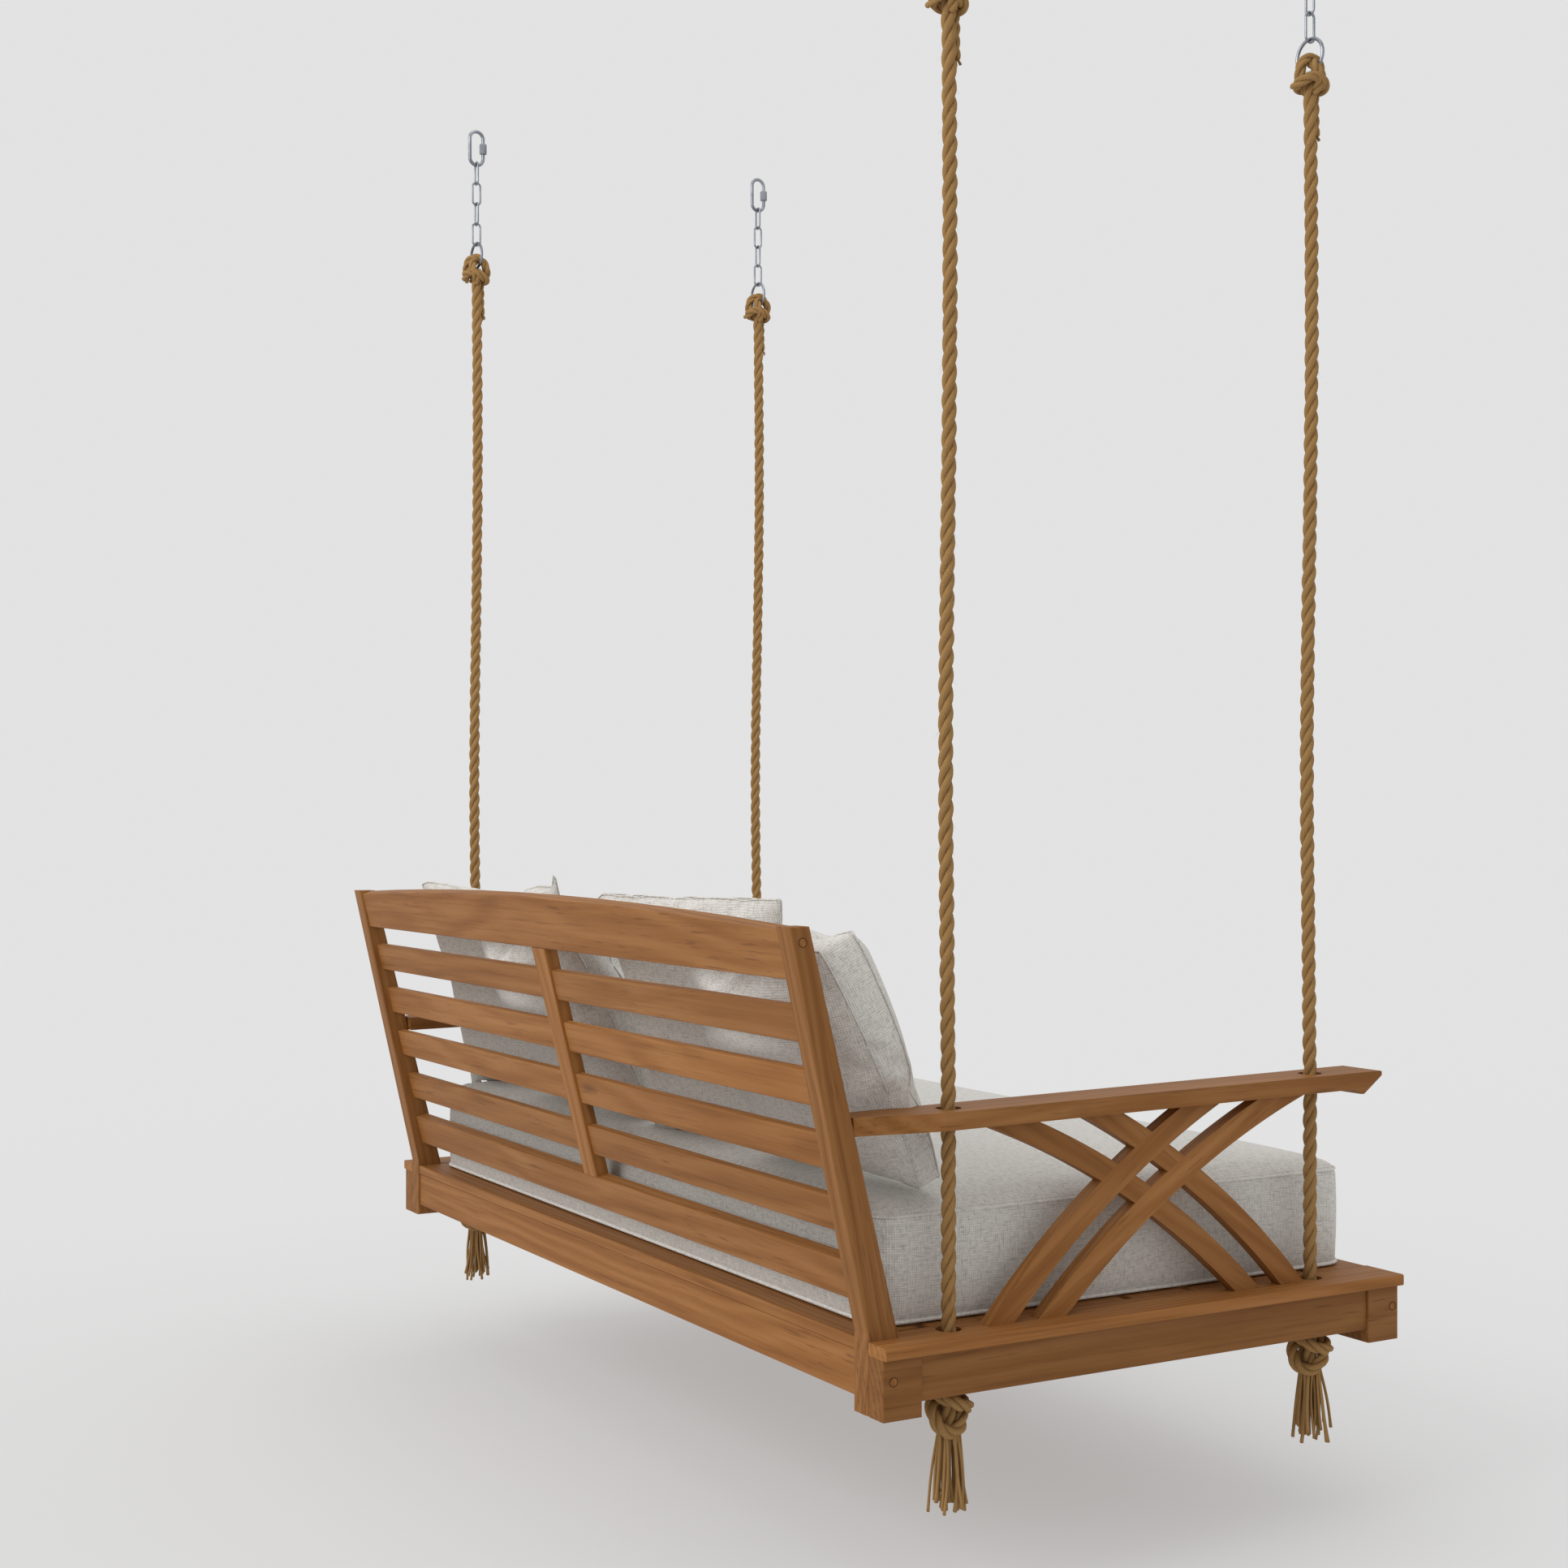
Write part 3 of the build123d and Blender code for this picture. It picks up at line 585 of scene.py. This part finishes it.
def pillow_shell(width, height, edge, cells, ear, rounding):
    """Two panels joined by an edge band, in their own plane: X across, Y up, Z thick."""
    shell = bmesh.new()
    half_w, half_h = width / 2, height / 2
    grids = []
    for side in (-1, 1):
        rows = []
        for j in range(cells + 1):
            row = []
            for i in range(cells + 1):
                u = 2 * i / cells - 1
                v = 2 * j / cells - 1
                # ear is how far the sides bow in between the corners (out where it is negative)
                pull_x = (1 - ear * (1 - v * v) * abs(u) ** 3) * math.sqrt(1 - rounding * v * v / 2)
                pull_y = (1 - ear * (1 - u * u) * abs(v) ** 3) * math.sqrt(1 - rounding * u * u / 2)
                belly = (1 - u ** 4) * (1 - v ** 4)
                depth = side * (edge / 2 + 0.022 * belly)
                row.append(shell.verts.new((u * half_w * pull_x, v * half_h * pull_y, depth)))
            rows.append(row)
        grids.append(rows)
        for j in range(cells):
            for i in range(cells):
                corners = [rows[j][i], rows[j][i + 1], rows[j + 1][i + 1], rows[j + 1][i]]
                shell.faces.new(corners if side > 0 else corners[::-1])
    rim = [(i, 0) for i in range(cells)] + [(cells, j) for j in range(cells)]
    rim += [(i, cells) for i in range(cells, 0, -1)] + [(0, j) for j in range(cells, 0, -1)]
    bands = max(1, round(edge / 0.016))
    rings = []
    for band in range(bands + 1):
        ring = []
        for i, j in rim:
            low = grids[0][j][i]
            high = grids[1][j][i]
            if band == 0:
                ring.append(low)
            elif band == bands:
                ring.append(high)
            else:
                ring.append(shell.verts.new(low.co.lerp(high.co, band / bands)))
        rings.append(ring)
    for low, high in zip(rings, rings[1:]):
        for number in range(len(rim)):
            after = (number + 1) % len(rim)
            shell.faces.new((low[number], low[after], high[after], high[number]))
    shell.verts.index_update()
    # each seam starts in the middle of the lower side, where its two ends meet unseen
    half = cells // 2
    seam_numbers = []
    for ring in (rings[0], rings[-1]):
        numbers = [vertex.index for vertex in ring]
        seam_numbers.append(numbers[half:] + numbers[:half])
    return shell, seam_numbers


def rest_on_seat(mesh, width, height):
    """The pillow's weight straightens the side that it stands on."""
    lowest = [0.0] * (FOOT_BINS + 1)
    for vertex in mesh.vertices:
        place = round((vertex.co.x / width + 0.5) * FOOT_BINS)
        lowest[place] = min(lowest[place], vertex.co.y)
    lift = [low + height / 2 for low in lowest]
    for vertex in mesh.vertices:
        along = min(max((vertex.co.x / width + 0.5) * FOOT_BINS, 0.0), FOOT_BINS - 1e-6)
        number = int(along)
        gap = lift[number] + (lift[number + 1] - lift[number]) * (along - number)
        share = min(1.0, max(0.0, FOOT_REACH - (vertex.co.y / height + 0.5)) / FOOT_REACH)
        edge = min(1.0, (1 - abs(vertex.co.x) / (width / 2)) * FOOT_FADE)
        vertex.co.y -= gap * share ** 1.5 * edge * FOOT_SHARE


def pillow(name, node, size, edge, shift, lean, turn, seed, ear, rounding, settle, material):
    """A stuffed pillow near the place of its CAD node, leaning back and turned about the vertical."""
    width, height = size[:2]
    shell, seam_numbers = pillow_shell(width, height, edge, PILLOW_CELLS, ear, rounding)
    mesh = bpy.data.meshes.new(name)
    shell.to_mesh(mesh)
    shell.free()
    obj = bpy.data.objects.new(name, mesh)
    SCENE.collection.objects.link(obj)
    # a little unevenness, so that the folds differ from one pillow to the next
    for vertex in mesh.vertices:
        shove = noise.noise(vertex.co * 9 + Vector((seed * 3.1, seed * 1.9, 0)))
        vertex.co.z += 0.0022 * shove
    inflate(obj)
    mesh = obj.data
    fit = []
    for axis, wanted in enumerate(size):
        places = [vertex.co[axis] for vertex in mesh.vertices]
        fit.append(wanted / (max(places) - min(places)))
    for vertex in mesh.vertices:
        vertex.co = Vector(vertex.co[axis] * fit[axis] for axis in range(3))
    rest_on_seat(mesh, width, height)
    for vertex in mesh.vertices:
        # the stuffing settles towards the foot of the pillow, and mostly to its front
        level = vertex.co.y / height + 0.5
        share = settle if vertex.co.z < 0 else settle * REAR_SETTLE
        vertex.co.z *= 1 + share * (0.5 - level)
    low, high = (Vector(corner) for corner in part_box(node))
    level_way = Vector((math.cos(turn), math.sin(turn), 0))
    flat = math.cos(lean)
    back_way = Vector((-math.sin(turn) * flat, math.cos(turn) * flat, -math.sin(lean)))
    up_way = back_way.cross(level_way)
    place = Matrix((level_way, up_way, back_way)).transposed().to_4x4()
    place.translation = (low + high) / 2 + Vector(shift)
    mesh.transform(place)
    mesh.polygons.foreach_set("use_smooth", [True] * len(mesh.polygons))
    metre_uvs(obj, level_way, up_way)
    give(obj, material)
    rings = []
    for ring in seam_numbers:
        rings.append([mesh.vertices[number].co.copy() for number in ring])
    smooth = obj.modifiers.new("smooth", "SUBSURF")
    smooth.levels = 1
    smooth.render_levels = 1
    apply_modifiers(obj)
    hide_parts(node)
    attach(obj, BENCH)
    cords = Tubes()
    for ring in rings:
        closed = ring + ring[:2]
        cords.add(even(closed, 0.006), SEAM_RADIUS, 6)
    seam = cords.build(name + "_seam")
    metre_uvs(seam, level_way, up_way)
    give(seam, material)
    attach(seam, BENCH)


def rounded_outline(half_x, half_y, radius, straight_step, round_steps):
    """A closed rounded rectangle as pairs of a point and its outward direction."""
    outline = []
    corners = ((1, 1, 0), (-1, 1, 90), (-1, -1, 180), (1, -1, 270))
    for sign_x, sign_y, start in corners:
        centre = Vector((sign_x * (half_x - radius), sign_y * (half_y - radius)))
        for number in range(round_steps + 1):
            angle = math.radians(start + 90 * number / round_steps)
            way = Vector((math.cos(angle), math.sin(angle)))
            outline.append((centre + way * radius, way))
    full = []
    for (spot, way), (next_spot, next_way) in zip(outline, outline[1:] + outline[:1]):
        full.append((spot, way))
        gap = (next_spot - spot).length
        pieces = int(gap / straight_step)
        if pieces > 1 and (way - next_way).length < 1e-6:
            for number in range(1, pieces):
                full.append((spot.lerp(next_spot, number / pieces), way))
    return full


def crowned(x, y, half_x, half_y):
    """How far the top of the cushion rises above its edge at a place."""
    crown = (1 - (x / half_x) ** 6) * (1 - (y / half_y) ** 4)
    ripple = noise.noise(Vector((x * 3.2, y * 3.2, 4.4)))
    return CUSHION_CROWN * crown + CUSHION_RIPPLE * ripple * crown


def seat_cushion(material, piping_material):
    """The long boxed seat cushion: crowned top, soft upper edge, piping below and a finer seam above."""
    low, high = (Vector(corner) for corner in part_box("seat_cushion"))
    centre = (low + high) / 2
    half_x, half_y = (high.x - low.x) / 2, (high.y - low.y) / 2
    tall = high.z - low.z
    outline = rounded_outline(half_x - 0.004, half_y - 0.004, CUSHION_RADIUS, 0.016, 8)
    count = len(outline)
    # the profile from the underside, up the side and in over the top: (inset, height)
    profile = [(0.30, 0.0), (0.10, 0.0), (0.03, 0.0), (0.006, 0.001), (0.0, 0.006)]
    profile += [(0.0, 0.006 + (tall - 0.030) * step / 9) for step in range(1, 10)]
    profile += [(0.002, tall - 0.017), (0.007, tall - 0.010), (0.016, tall - 0.005), (0.030, tall - 0.002)]
    profile += [(0.05 * step, tall) for step in range(1, 8)]
    vertices, faces = [], []
    for inset, level in profile:
        on_side = max(0.0, math.sin(math.pi * min(1.0, level / tall)))
        for spot, way in outline:
            # near the edge a ring keeps the corners' shape, and further in it shrinks to the middle
            near = min(inset, EDGE_BAND)
            flat = spot - way * near
            flat.x *= (half_x - inset) / (half_x - near)
            flat.y *= (half_y - inset) / (half_y - near)
            # the sides swell between the edges and pull in between the corners
            uneven = noise.noise(Vector((spot.x * 6, spot.y * 6, level * 9)))
            swell = 0.005 * on_side + 0.003 * on_side * uneven
            corner_way = abs(way.x * way.y) * 2
            swell *= 1 - 0.6 * corner_way
            if inset < 0.02:
                flat = flat + way * swell
            height = level
            if level > tall * 0.8 and inset >= 0.03:
                height += crowned(flat.x, flat.y, half_x, half_y)
            vertices.append((centre.x + flat.x, centre.y + flat.y, low.z + height))
    for row in range(len(profile) - 1):
        for number in range(count):
            after = (number + 1) % count
            faces.append((row * count + number, row * count + after, (row + 1) * count + after,
                          (row + 1) * count + number))
    for row, turned in ((0, True), (len(profile) - 1, False)):
        middle = len(vertices)
        ring = [vertices[row * count + number] for number in range(count)]
        # close the cap with a spine along X, which stops short of the ring's two ends
        reach = max(point[0] for point in ring) - centre.x - (max(point[1] for point in ring) - centre.y)
        spine = []
        for number in range(count):
            along = min(max(ring[number][0] - centre.x, -reach), reach)
            lift = crowned(along, 0.0, half_x, half_y) if row else 0.0
            spine.append((centre.x + along, centre.y, low.z + profile[row][1] + lift))
        vertices.extend(spine)
        for number in range(count):
            after = (number + 1) % count
            quad = (row * count + number, row * count + after, middle + after, middle + number)
            faces.append(quad[::-1] if turned else quad)
    obj = new_object("seat_pad", vertices, faces)
    smoothing = bmesh.new()
    smoothing.from_mesh(obj.data)
    bmesh.ops.remove_doubles(smoothing, verts=smoothing.verts, dist=0.0004)
    bmesh.ops.recalc_face_normals(smoothing, faces=smoothing.faces)
    smoothing.to_mesh(obj.data)
    smoothing.free()
    metre_uvs(obj, Vector((1, 0, 0)), Vector((0, 0, 1)))
    give(obj, material)
    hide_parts("seat_cushion")
    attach(obj, BENCH)
    cords = Tubes()
    for level, inset in ((0.0042, -0.0022), (tall - 0.0155, -0.0012)):
        ring = []
        for spot, way in outline + outline[:2]:
            edge = spot - way * (inset + 0.001)
            ring.append(Vector((centre.x + edge.x, centre.y + edge.y, low.z + level)))
        cords.add(ring, PIPING_RADIUS if level < 0.05 else TOP_SEAM_RADIUS, 8)
    piping = cords.build("seat_pad_piping")
    give(piping, piping_material)
    metre_uvs(piping, Vector((1, 0, 0)), Vector((0, 0, 1)))
    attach(piping, BENCH)


def upper_rope(corner, seed, material):
    """The rope from the ring's knot down into the arm, with the knot and its cut end."""
    x, y = corner_place(corner)
    body = "hanger_" + corner
    bow = 0.006 if corner.startswith("rear") else 0.008
    route = smooth_route([
        Vector((x, y, KNOT_Z)),
        Vector((x, y - bow * 0.6, KNOT_Z - 0.30)),
        Vector((x, y - bow * 0.2, KNOT_Z - 0.62)),
        Vector((x, y + bow, KNOT_Z - 1.02)),
        Vector((x, y + bow * 0.3, ROPE_FOOT_Z + 0.20)),
        Vector((x, y, ROPE_FOOT_Z)),
    ], 16)
    tubes = Tubes()
    line = lay_strands(tubes, route, ROPE_D, seed)
    rope = tubes.build("long_rope_" + corner)
    give(rope, material)
    fibres = Tubes()
    stray_fibres(fibres, line, UPPER_FIBRES, seed + 50)
    hairs = fibres.build("long_rope_fibres_" + corner)
    give(hairs, material)

    # the knot: turns round the rope under the ring, and a bight up through the ring
    knot = Tubes()
    chance = random.Random(seed + 7)
    middle = Vector((x, y, KNOT_Z))
    facing = KNOT_FACING + 0.3 * (seed % 3 - 1)
    lay_strands(knot, smooth_route(turned(KNOT_BIGHT, middle, facing), 10), BIGHT_D, seed + 3)
    lay_strands(knot, smooth_route(turned(KNOT_BAND, middle, facing), 10), BAND_D, seed + 4)
    lay_strands(knot, smooth_route(turned(KNOT_CROSS, middle, facing), 10), BAND_D, seed + 6)
    tail_side = Vector((0.3, -0.954, 0)) if corner.endswith("left") else Vector((0.5, -0.866, 0))
    tail = smooth_route([
        middle + tail_side * 0.010 + Vector((0, 0, -0.012)),
        middle + tail_side * 0.0155 + Vector((0, 0, -0.034)),
        middle + tail_side * 0.0140 + Vector((0, 0, -0.060)),
        middle + tail_side * 0.0165 + Vector((0, 0, -TAIL_LENGTH)),
    ], 8)
    lay_strands(knot, tail, TAIL_D, seed + 5, 0.0034)
    tip = tail[-1]
    for number in range(FRAY_YARNS):
        angle = number * FRAY_TURN
        out = Vector((math.cos(angle), math.sin(angle), 0)) * 0.0032
        end = tip + out * 1.9 + tail_side * 0.002 + Vector((0, 0, -chance.uniform(0.006, 0.012)))
        knot.add([tip + out * 0.8, tip.lerp(end, 0.5) + out * 0.4, end], 0.0013, 6)
    top_knot = knot.build("ring_knot_" + corner)
    give(top_knot, material)

    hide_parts("rope_" + corner)
    for piece in (rope, top_knot, hairs):
        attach(piece, body)


def turned(points, middle, angle):
    """The points turned about the upright line through middle."""
    spin = Matrix.Rotation(angle, 4, "Z")
    return [middle + spin @ (Vector(point) * KNOT_SIZE) for point in points]


# an overhand stopper seen from the side, from the rope above it round to the yarns below, in metres
STOPPER_WRAP = (
    (0.000, 0.000, 0.004), (-0.004, 0.008, -0.012), (-0.020, 0.010, -0.016), (-0.024, -0.006, -0.030),
    (-0.018, -0.014, -0.046), (-0.002, -0.013, -0.054), (0.013, -0.010, -0.046), (0.020, 0.006, -0.030),
    (0.012, 0.017, -0.020), (-0.008, 0.019, -0.028), (-0.012, 0.010, -0.042), (-0.003, 0.002, -0.050),
    (0.004, 0.000, -0.062),
)
STOPPER_BAND = (
    (-0.016, -0.004, -0.007), (-0.008, -0.017, -0.010), (0.008, -0.020, -0.017), (0.022, -0.012, -0.023),
    (0.025, 0.004, -0.022), (0.014, 0.016, -0.014), (-0.004, 0.014, -0.010),
)
# the knot on the ring: a bight over the ring's foot, and a band that grips the rope under it
KNOT_BIGHT = (
    (-0.016, -0.003, -0.012), (-0.020, -0.005, 0.004), (-0.012, -0.006, 0.019), (0.002, -0.004, 0.0245),
    (0.015, 0.000, 0.014), (0.020, 0.005, -0.002), (0.012, 0.010, -0.014), (-0.004, 0.010, -0.018),
)
KNOT_BAND = (
    (-0.022, 0.002, -0.016), (-0.019, -0.013, -0.012), (-0.004, -0.019, -0.006), (0.012, -0.016, -0.010),
    (0.021, -0.004, -0.018), (0.014, 0.012, -0.021), (-0.004, 0.017, -0.016), (-0.018, 0.011, -0.012),
)
KNOT_CROSS = (
    (0.004, 0.004, 0.020), (-0.002, -0.014, 0.013), (0.002, -0.019, 0.000), (0.008, -0.015, -0.014),
    (0.004, -0.004, -0.024),
)


def lower_rope(corner, seed, material, tassel_material):
    """The rope from the arm's hole through the side rail to its stopper knot and tassel."""
    x, y = corner_place(corner)
    start = Vector((x, y, ROPE_FOOT_Z - 0.0006))
    top = Vector((x, y, STOPPER_TOP_Z))
    heart = top + Vector((0, 0, -STOPPER_HEIGHT * 0.8))
    route = smooth_route([start, start.lerp(heart, 0.5), heart], 16)
    tubes = Tubes()
    line = lay_strands(tubes, route, ROPE_D, seed)
    rope = tubes.build("short_rope_" + corner)
    give(rope, material)
    fibres = Tubes()
    stray_fibres(fibres, line[:-20], LOWER_FIBRES, seed + 60)
    hairs = fibres.build("short_rope_fibres_" + corner)
    give(hairs, material)

    knot = Tubes()
    facing = KNOT_FACING + 0.35 * (seed % 3 - 1)
    lay_strands(knot, smooth_route(turned(STOPPER_WRAP, top, facing), 10), WRAP_D, seed + 9)
    lay_strands(knot, smooth_route(turned(STOPPER_BAND, top, facing), 10), STOPPER_BAND_D, seed + 10)
    stopper = knot.build("stopper_knot_" + corner)
    give(stopper, material)

    chance = random.Random(seed + 20)
    yarns = Tubes()
    root = top + Vector((0, 0, -STOPPER_HEIGHT + 0.010))
    for number in range(TASSEL_YARNS):
        angle = number * YARN_TURN + chance.uniform(-0.3, 0.3)
        out = Vector((math.cos(angle), math.sin(angle), 0))
        share = math.sqrt((number + 0.5) / TASSEL_YARNS)
        first = 0.0020 + 0.0130 * share
        last = first + 0.0150 * share * chance.uniform(0.35, 1.25)
        drop = TASSEL_LENGTH + 0.009 - chance.uniform(0.0, 0.026)
        bend = Vector((chance.uniform(-1, 1), chance.uniform(-1, 1), 0)) * 0.0045
        yarn = []
        for step in range(12):
            t = step / 11
            wave = bend * math.sin(math.pi * t)
            spread = first + (last - first) * t ** 1.3
            yarn.append(root + out * spread + wave + Vector((0, 0, -drop * t)))
        thick = chance.uniform(0.0017, 0.0027)

        def fraying(t, thick=thick):
            """A yarn is a little thicker towards its cut end."""
            return thick * (1.0 if t < 0.85 else 1.0 + 0.2 * (t - 0.85) / 0.15)

        yarns.add(yarn, fraying, 7)
    tassel = yarns.build("tassel_" + corner)
    give(tassel, tassel_material)

    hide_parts("rope_end_" + corner)
    for piece in (rope, stopper, tassel, hairs):
        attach(piece, BENCH)


# ---- camera, light and floor -------------------------------------------------------------------
CAMERA_PLACE = (-3.2989, 1.9988, -1.4177)
CAMERA_AHEAD = (0.86629, -0.49954, 0)
CAMERA_LENS = 49.39
CAMERA_SHIFT_Y = 0.0237
BACKGROUND = 0.765         # the linear value of the pale grey surroundings
FLOOR_HALF = 60.0          # half the side of the square floor
FLOOR_GLOW = 0.33          # keeps the shadow as pale as soft studio light leaves it
# each soft light: name, place, what it faces, side of its square, power in watts
LIGHTS = (
    ("overhead", (-0.4, 0.3, 2.4), (0, 0, -2.4), 3.0, 30),
    ("behind", (-0.3, 4.7, 0.6), (0, 0, -1.9), 3.4, 120),
)


def camera():
    """The camera that sees the swing from behind its left end."""
    data = bpy.data.cameras.new("camera")
    data.sensor_width = 36
    data.lens = CAMERA_LENS
    data.shift_y = CAMERA_SHIFT_Y
    obj = bpy.data.objects.new("camera", data)
    obj.location = CAMERA_PLACE
    obj.rotation_mode = "QUATERNION"
    obj.rotation_quaternion = Vector(CAMERA_AHEAD).to_track_quat("-Z", "Y")
    SCENE.collection.objects.link(obj)
    SCENE.camera = obj


def area_light(name, place, target, size, power):
    """A soft square light that faces its target."""
    data = bpy.data.lights.new(name, "AREA")
    data.shape = "SQUARE"
    data.size = size
    data.energy = power
    obj = bpy.data.objects.new(name, data)
    obj.location = place
    obj.rotation_mode = "QUATERNION"
    obj.rotation_quaternion = (Vector(target) - Vector(place)).to_track_quat("-Z", "Y")
    SCENE.collection.objects.link(obj)


def surroundings():
    """A pale grey world, the soft lights, and a floor of the same grey."""
    world = bpy.data.worlds.new("studio")
    world.use_nodes = True
    sky = world.node_tree.nodes["Background"]
    sky.inputs["Color"].default_value = (BACKGROUND, BACKGROUND, BACKGROUND, 1)
    sky.inputs["Strength"].default_value = 1.0
    SCENE.world = world
    for name, spot, target, side, power in LIGHTS:
        area_light(name, spot, target, side, power)

    signs = ((-1, -1), (1, -1), (1, 1), (-1, 1))
    corners = [(FLOOR_HALF * x, FLOOR_HALF * y, FLOOR_Z) for x, y in signs]
    floor = new_object("floor", corners, [(0, 1, 2, 3)], smooth=False)
    shader = Shader("floor_paper")
    # paper that is paler where less of the lights falls, so that it meets the backdrop's grey
    place = shader.add("ShaderNodeTexCoord").outputs["Object"]
    key_part = 0.0
    for _, spot, target, _, power in LIGHTS:
        aim = (Vector(target) - Vector(spot)).normalized()
        inputs = {0: place, 1: spot}
        ray = shader.add("ShaderNodeVectorMath", inputs, operation="SUBTRACT").outputs[0]
        square = shader.dot(ray, ray)
        facing = shader.dot(ray, aim)
        strength = power * (spot[2] - FLOOR_Z) / math.pi ** 2
        lit = shader.maths("MULTIPLY", shader.maths("MAXIMUM", facing, 0.0), strength)
        lit = shader.maths("DIVIDE", lit, shader.maths("MULTIPLY", square, square))
        key_part = shader.maths("ADD", key_part, lit)
    received = shader.maths("ADD", key_part, BACKGROUND)
    tone = shader.maths("DIVIDE", BACKGROUND - FLOOR_GLOW, received)
    colour = shader.add("ShaderNodeCombineColor", {0: tone, 1: tone, 2: tone}).outputs["Color"]
    shader.link(colour, "Base Color")
    # the floor glows: painted light that keeps the shadow under the swing pale
    shader.bsdf.inputs["Emission Color"].default_value = (1, 1, 1, 1)
    shader.bsdf.inputs["Emission Strength"].default_value = FLOOR_GLOW
    shader.bsdf.inputs["Roughness"].default_value = 0.9
    shader.bsdf.inputs["Specular IOR Level"].default_value = 0.0
    give(floor, shader.material)
    SCENE.view_settings.view_transform = "Standard"


# ---- plugs -------------------------------------------------------------------------------------
def plug_rings(material):
    """Thin dark rings of painted shade: the shade in the narrow gap round each wooden plug."""
    source = bmesh.new()
    source.from_mesh(NODES["wood_plugs"].data)
    seen = set()
    rings = Tubes()
    for start in source.verts:
        if start in seen:
            continue
        island, queue = [], [start]
        seen.add(start)
        while queue:
            vertex = queue.pop()
            island.append(vertex.co.copy())
            for edge in vertex.link_edges:
                other = edge.other_vert(vertex)
                if other not in seen:
                    seen.add(other)
                    queue.append(other)
        low = Vector(min(point[axis] for point in island) for axis in range(3))
        high = Vector(max(point[axis] for point in island) for axis in range(3))
        middle = (low + high) / 2
        radius = (high.z - low.z) / 2
        face_x = high.x if middle.x > 0 else low.x
        circle = []
        for number in range(33):
            angle = 2 * math.pi * number / 32
            out = Vector((0, math.cos(angle), math.sin(angle)))
            circle.append(Vector((face_x, middle.y, middle.z)) + out * radius)
        rings.add(circle, PLUG_GAP_RADIUS, 5)
    source.free()
    obj = rings.build("plug_rings")
    give(obj, material)
    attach(obj, BENCH)


def gap_shade_material():
    """Painted shade for the narrow gap round a plug: a dark brown, mottled a little."""
    shader = Shader("plug_gap_shade")
    place = shader.add("ShaderNodeTexCoord").outputs["Object"]
    shade_mottle = shader.noise(place, 300.0)
    colour = shader.ramp(shade_mottle, (0.3, (0.030, 0.012, 0.005)), (0.7, (0.075, 0.030, 0.012)))
    shader.link(colour, "Base Color")
    shader.bsdf.inputs["Roughness"].default_value = 0.85
    return shader.material


# ---- the whole scene ---------------------------------------------------------------------------
camera()
surroundings()

rope_material = manila("manila_rope")
tassel_material = manila("manila_yarn", 1.05)
for order, corner in enumerate(CORNERS):
    upper_rope(corner, order + 1, rope_material)
    lower_rope(corner, order + 11, rope_material, tassel_material)

seat_linen = linen("seat_linen")
pillow_linen = linen("pillow_linen", 1.03)
piping_linen = linen("piping_linen", 1.15)
seat_cushion(seat_linen, piping_linen)
for side, seed in (("left", 1), ("right", 2)):
    pillow("back_pad_" + side, "back_pillow_" + side, BACK_SIZE, BACK_EDGE, BACK_SHIFT, BACK_LEAN, 0.0,
           seed, ear=0.0, rounding=0.42, settle=0.85, material=pillow_linen)
    pillow("throw_pad_" + side, "throw_pillow_" + side, THROW_SIZE, THROW_EDGE, THROW_SHIFT, THROW_LEAN,
           THROW_TURN, seed + 2, ear=-0.03, rounding=0.0, settle=0.20, material=pillow_linen)

# pieces painted darker or paler than the rest: partly the wood's own tone, partly painted light and shade,
# with the side boards paler and the corner blocks, side rails and stiles darker
TONE_AND_SHADE = (("corner_block", 0.74), ("side_rail", 0.84), ("side_board", 1.22), ("stile", 0.92))
chance = random.Random(12)
for node in sorted(NODES):
    if node.startswith(("quick", "chain")):
        roughness = CHAIN_ROUGHNESS if node.startswith("chain") else LINK_ROUGHNESS
        give(NODES[node], zinc("zinc_" + node, roughness))
    elif not node.startswith("rope") and "pillow" not in node and "cushion" not in node:
        tone = next((tone for start, tone in TONE_AND_SHADE if node.startswith(start)), 1.0)
        tint = chance.uniform(0.90, 1.10) * tone
        give(NODES[node], teak("teak_" + node, grain_of(node), chance.uniform(0, 40), tint))
# thin dark rings of painted shade round the plugs
plug_rings(gap_shade_material())
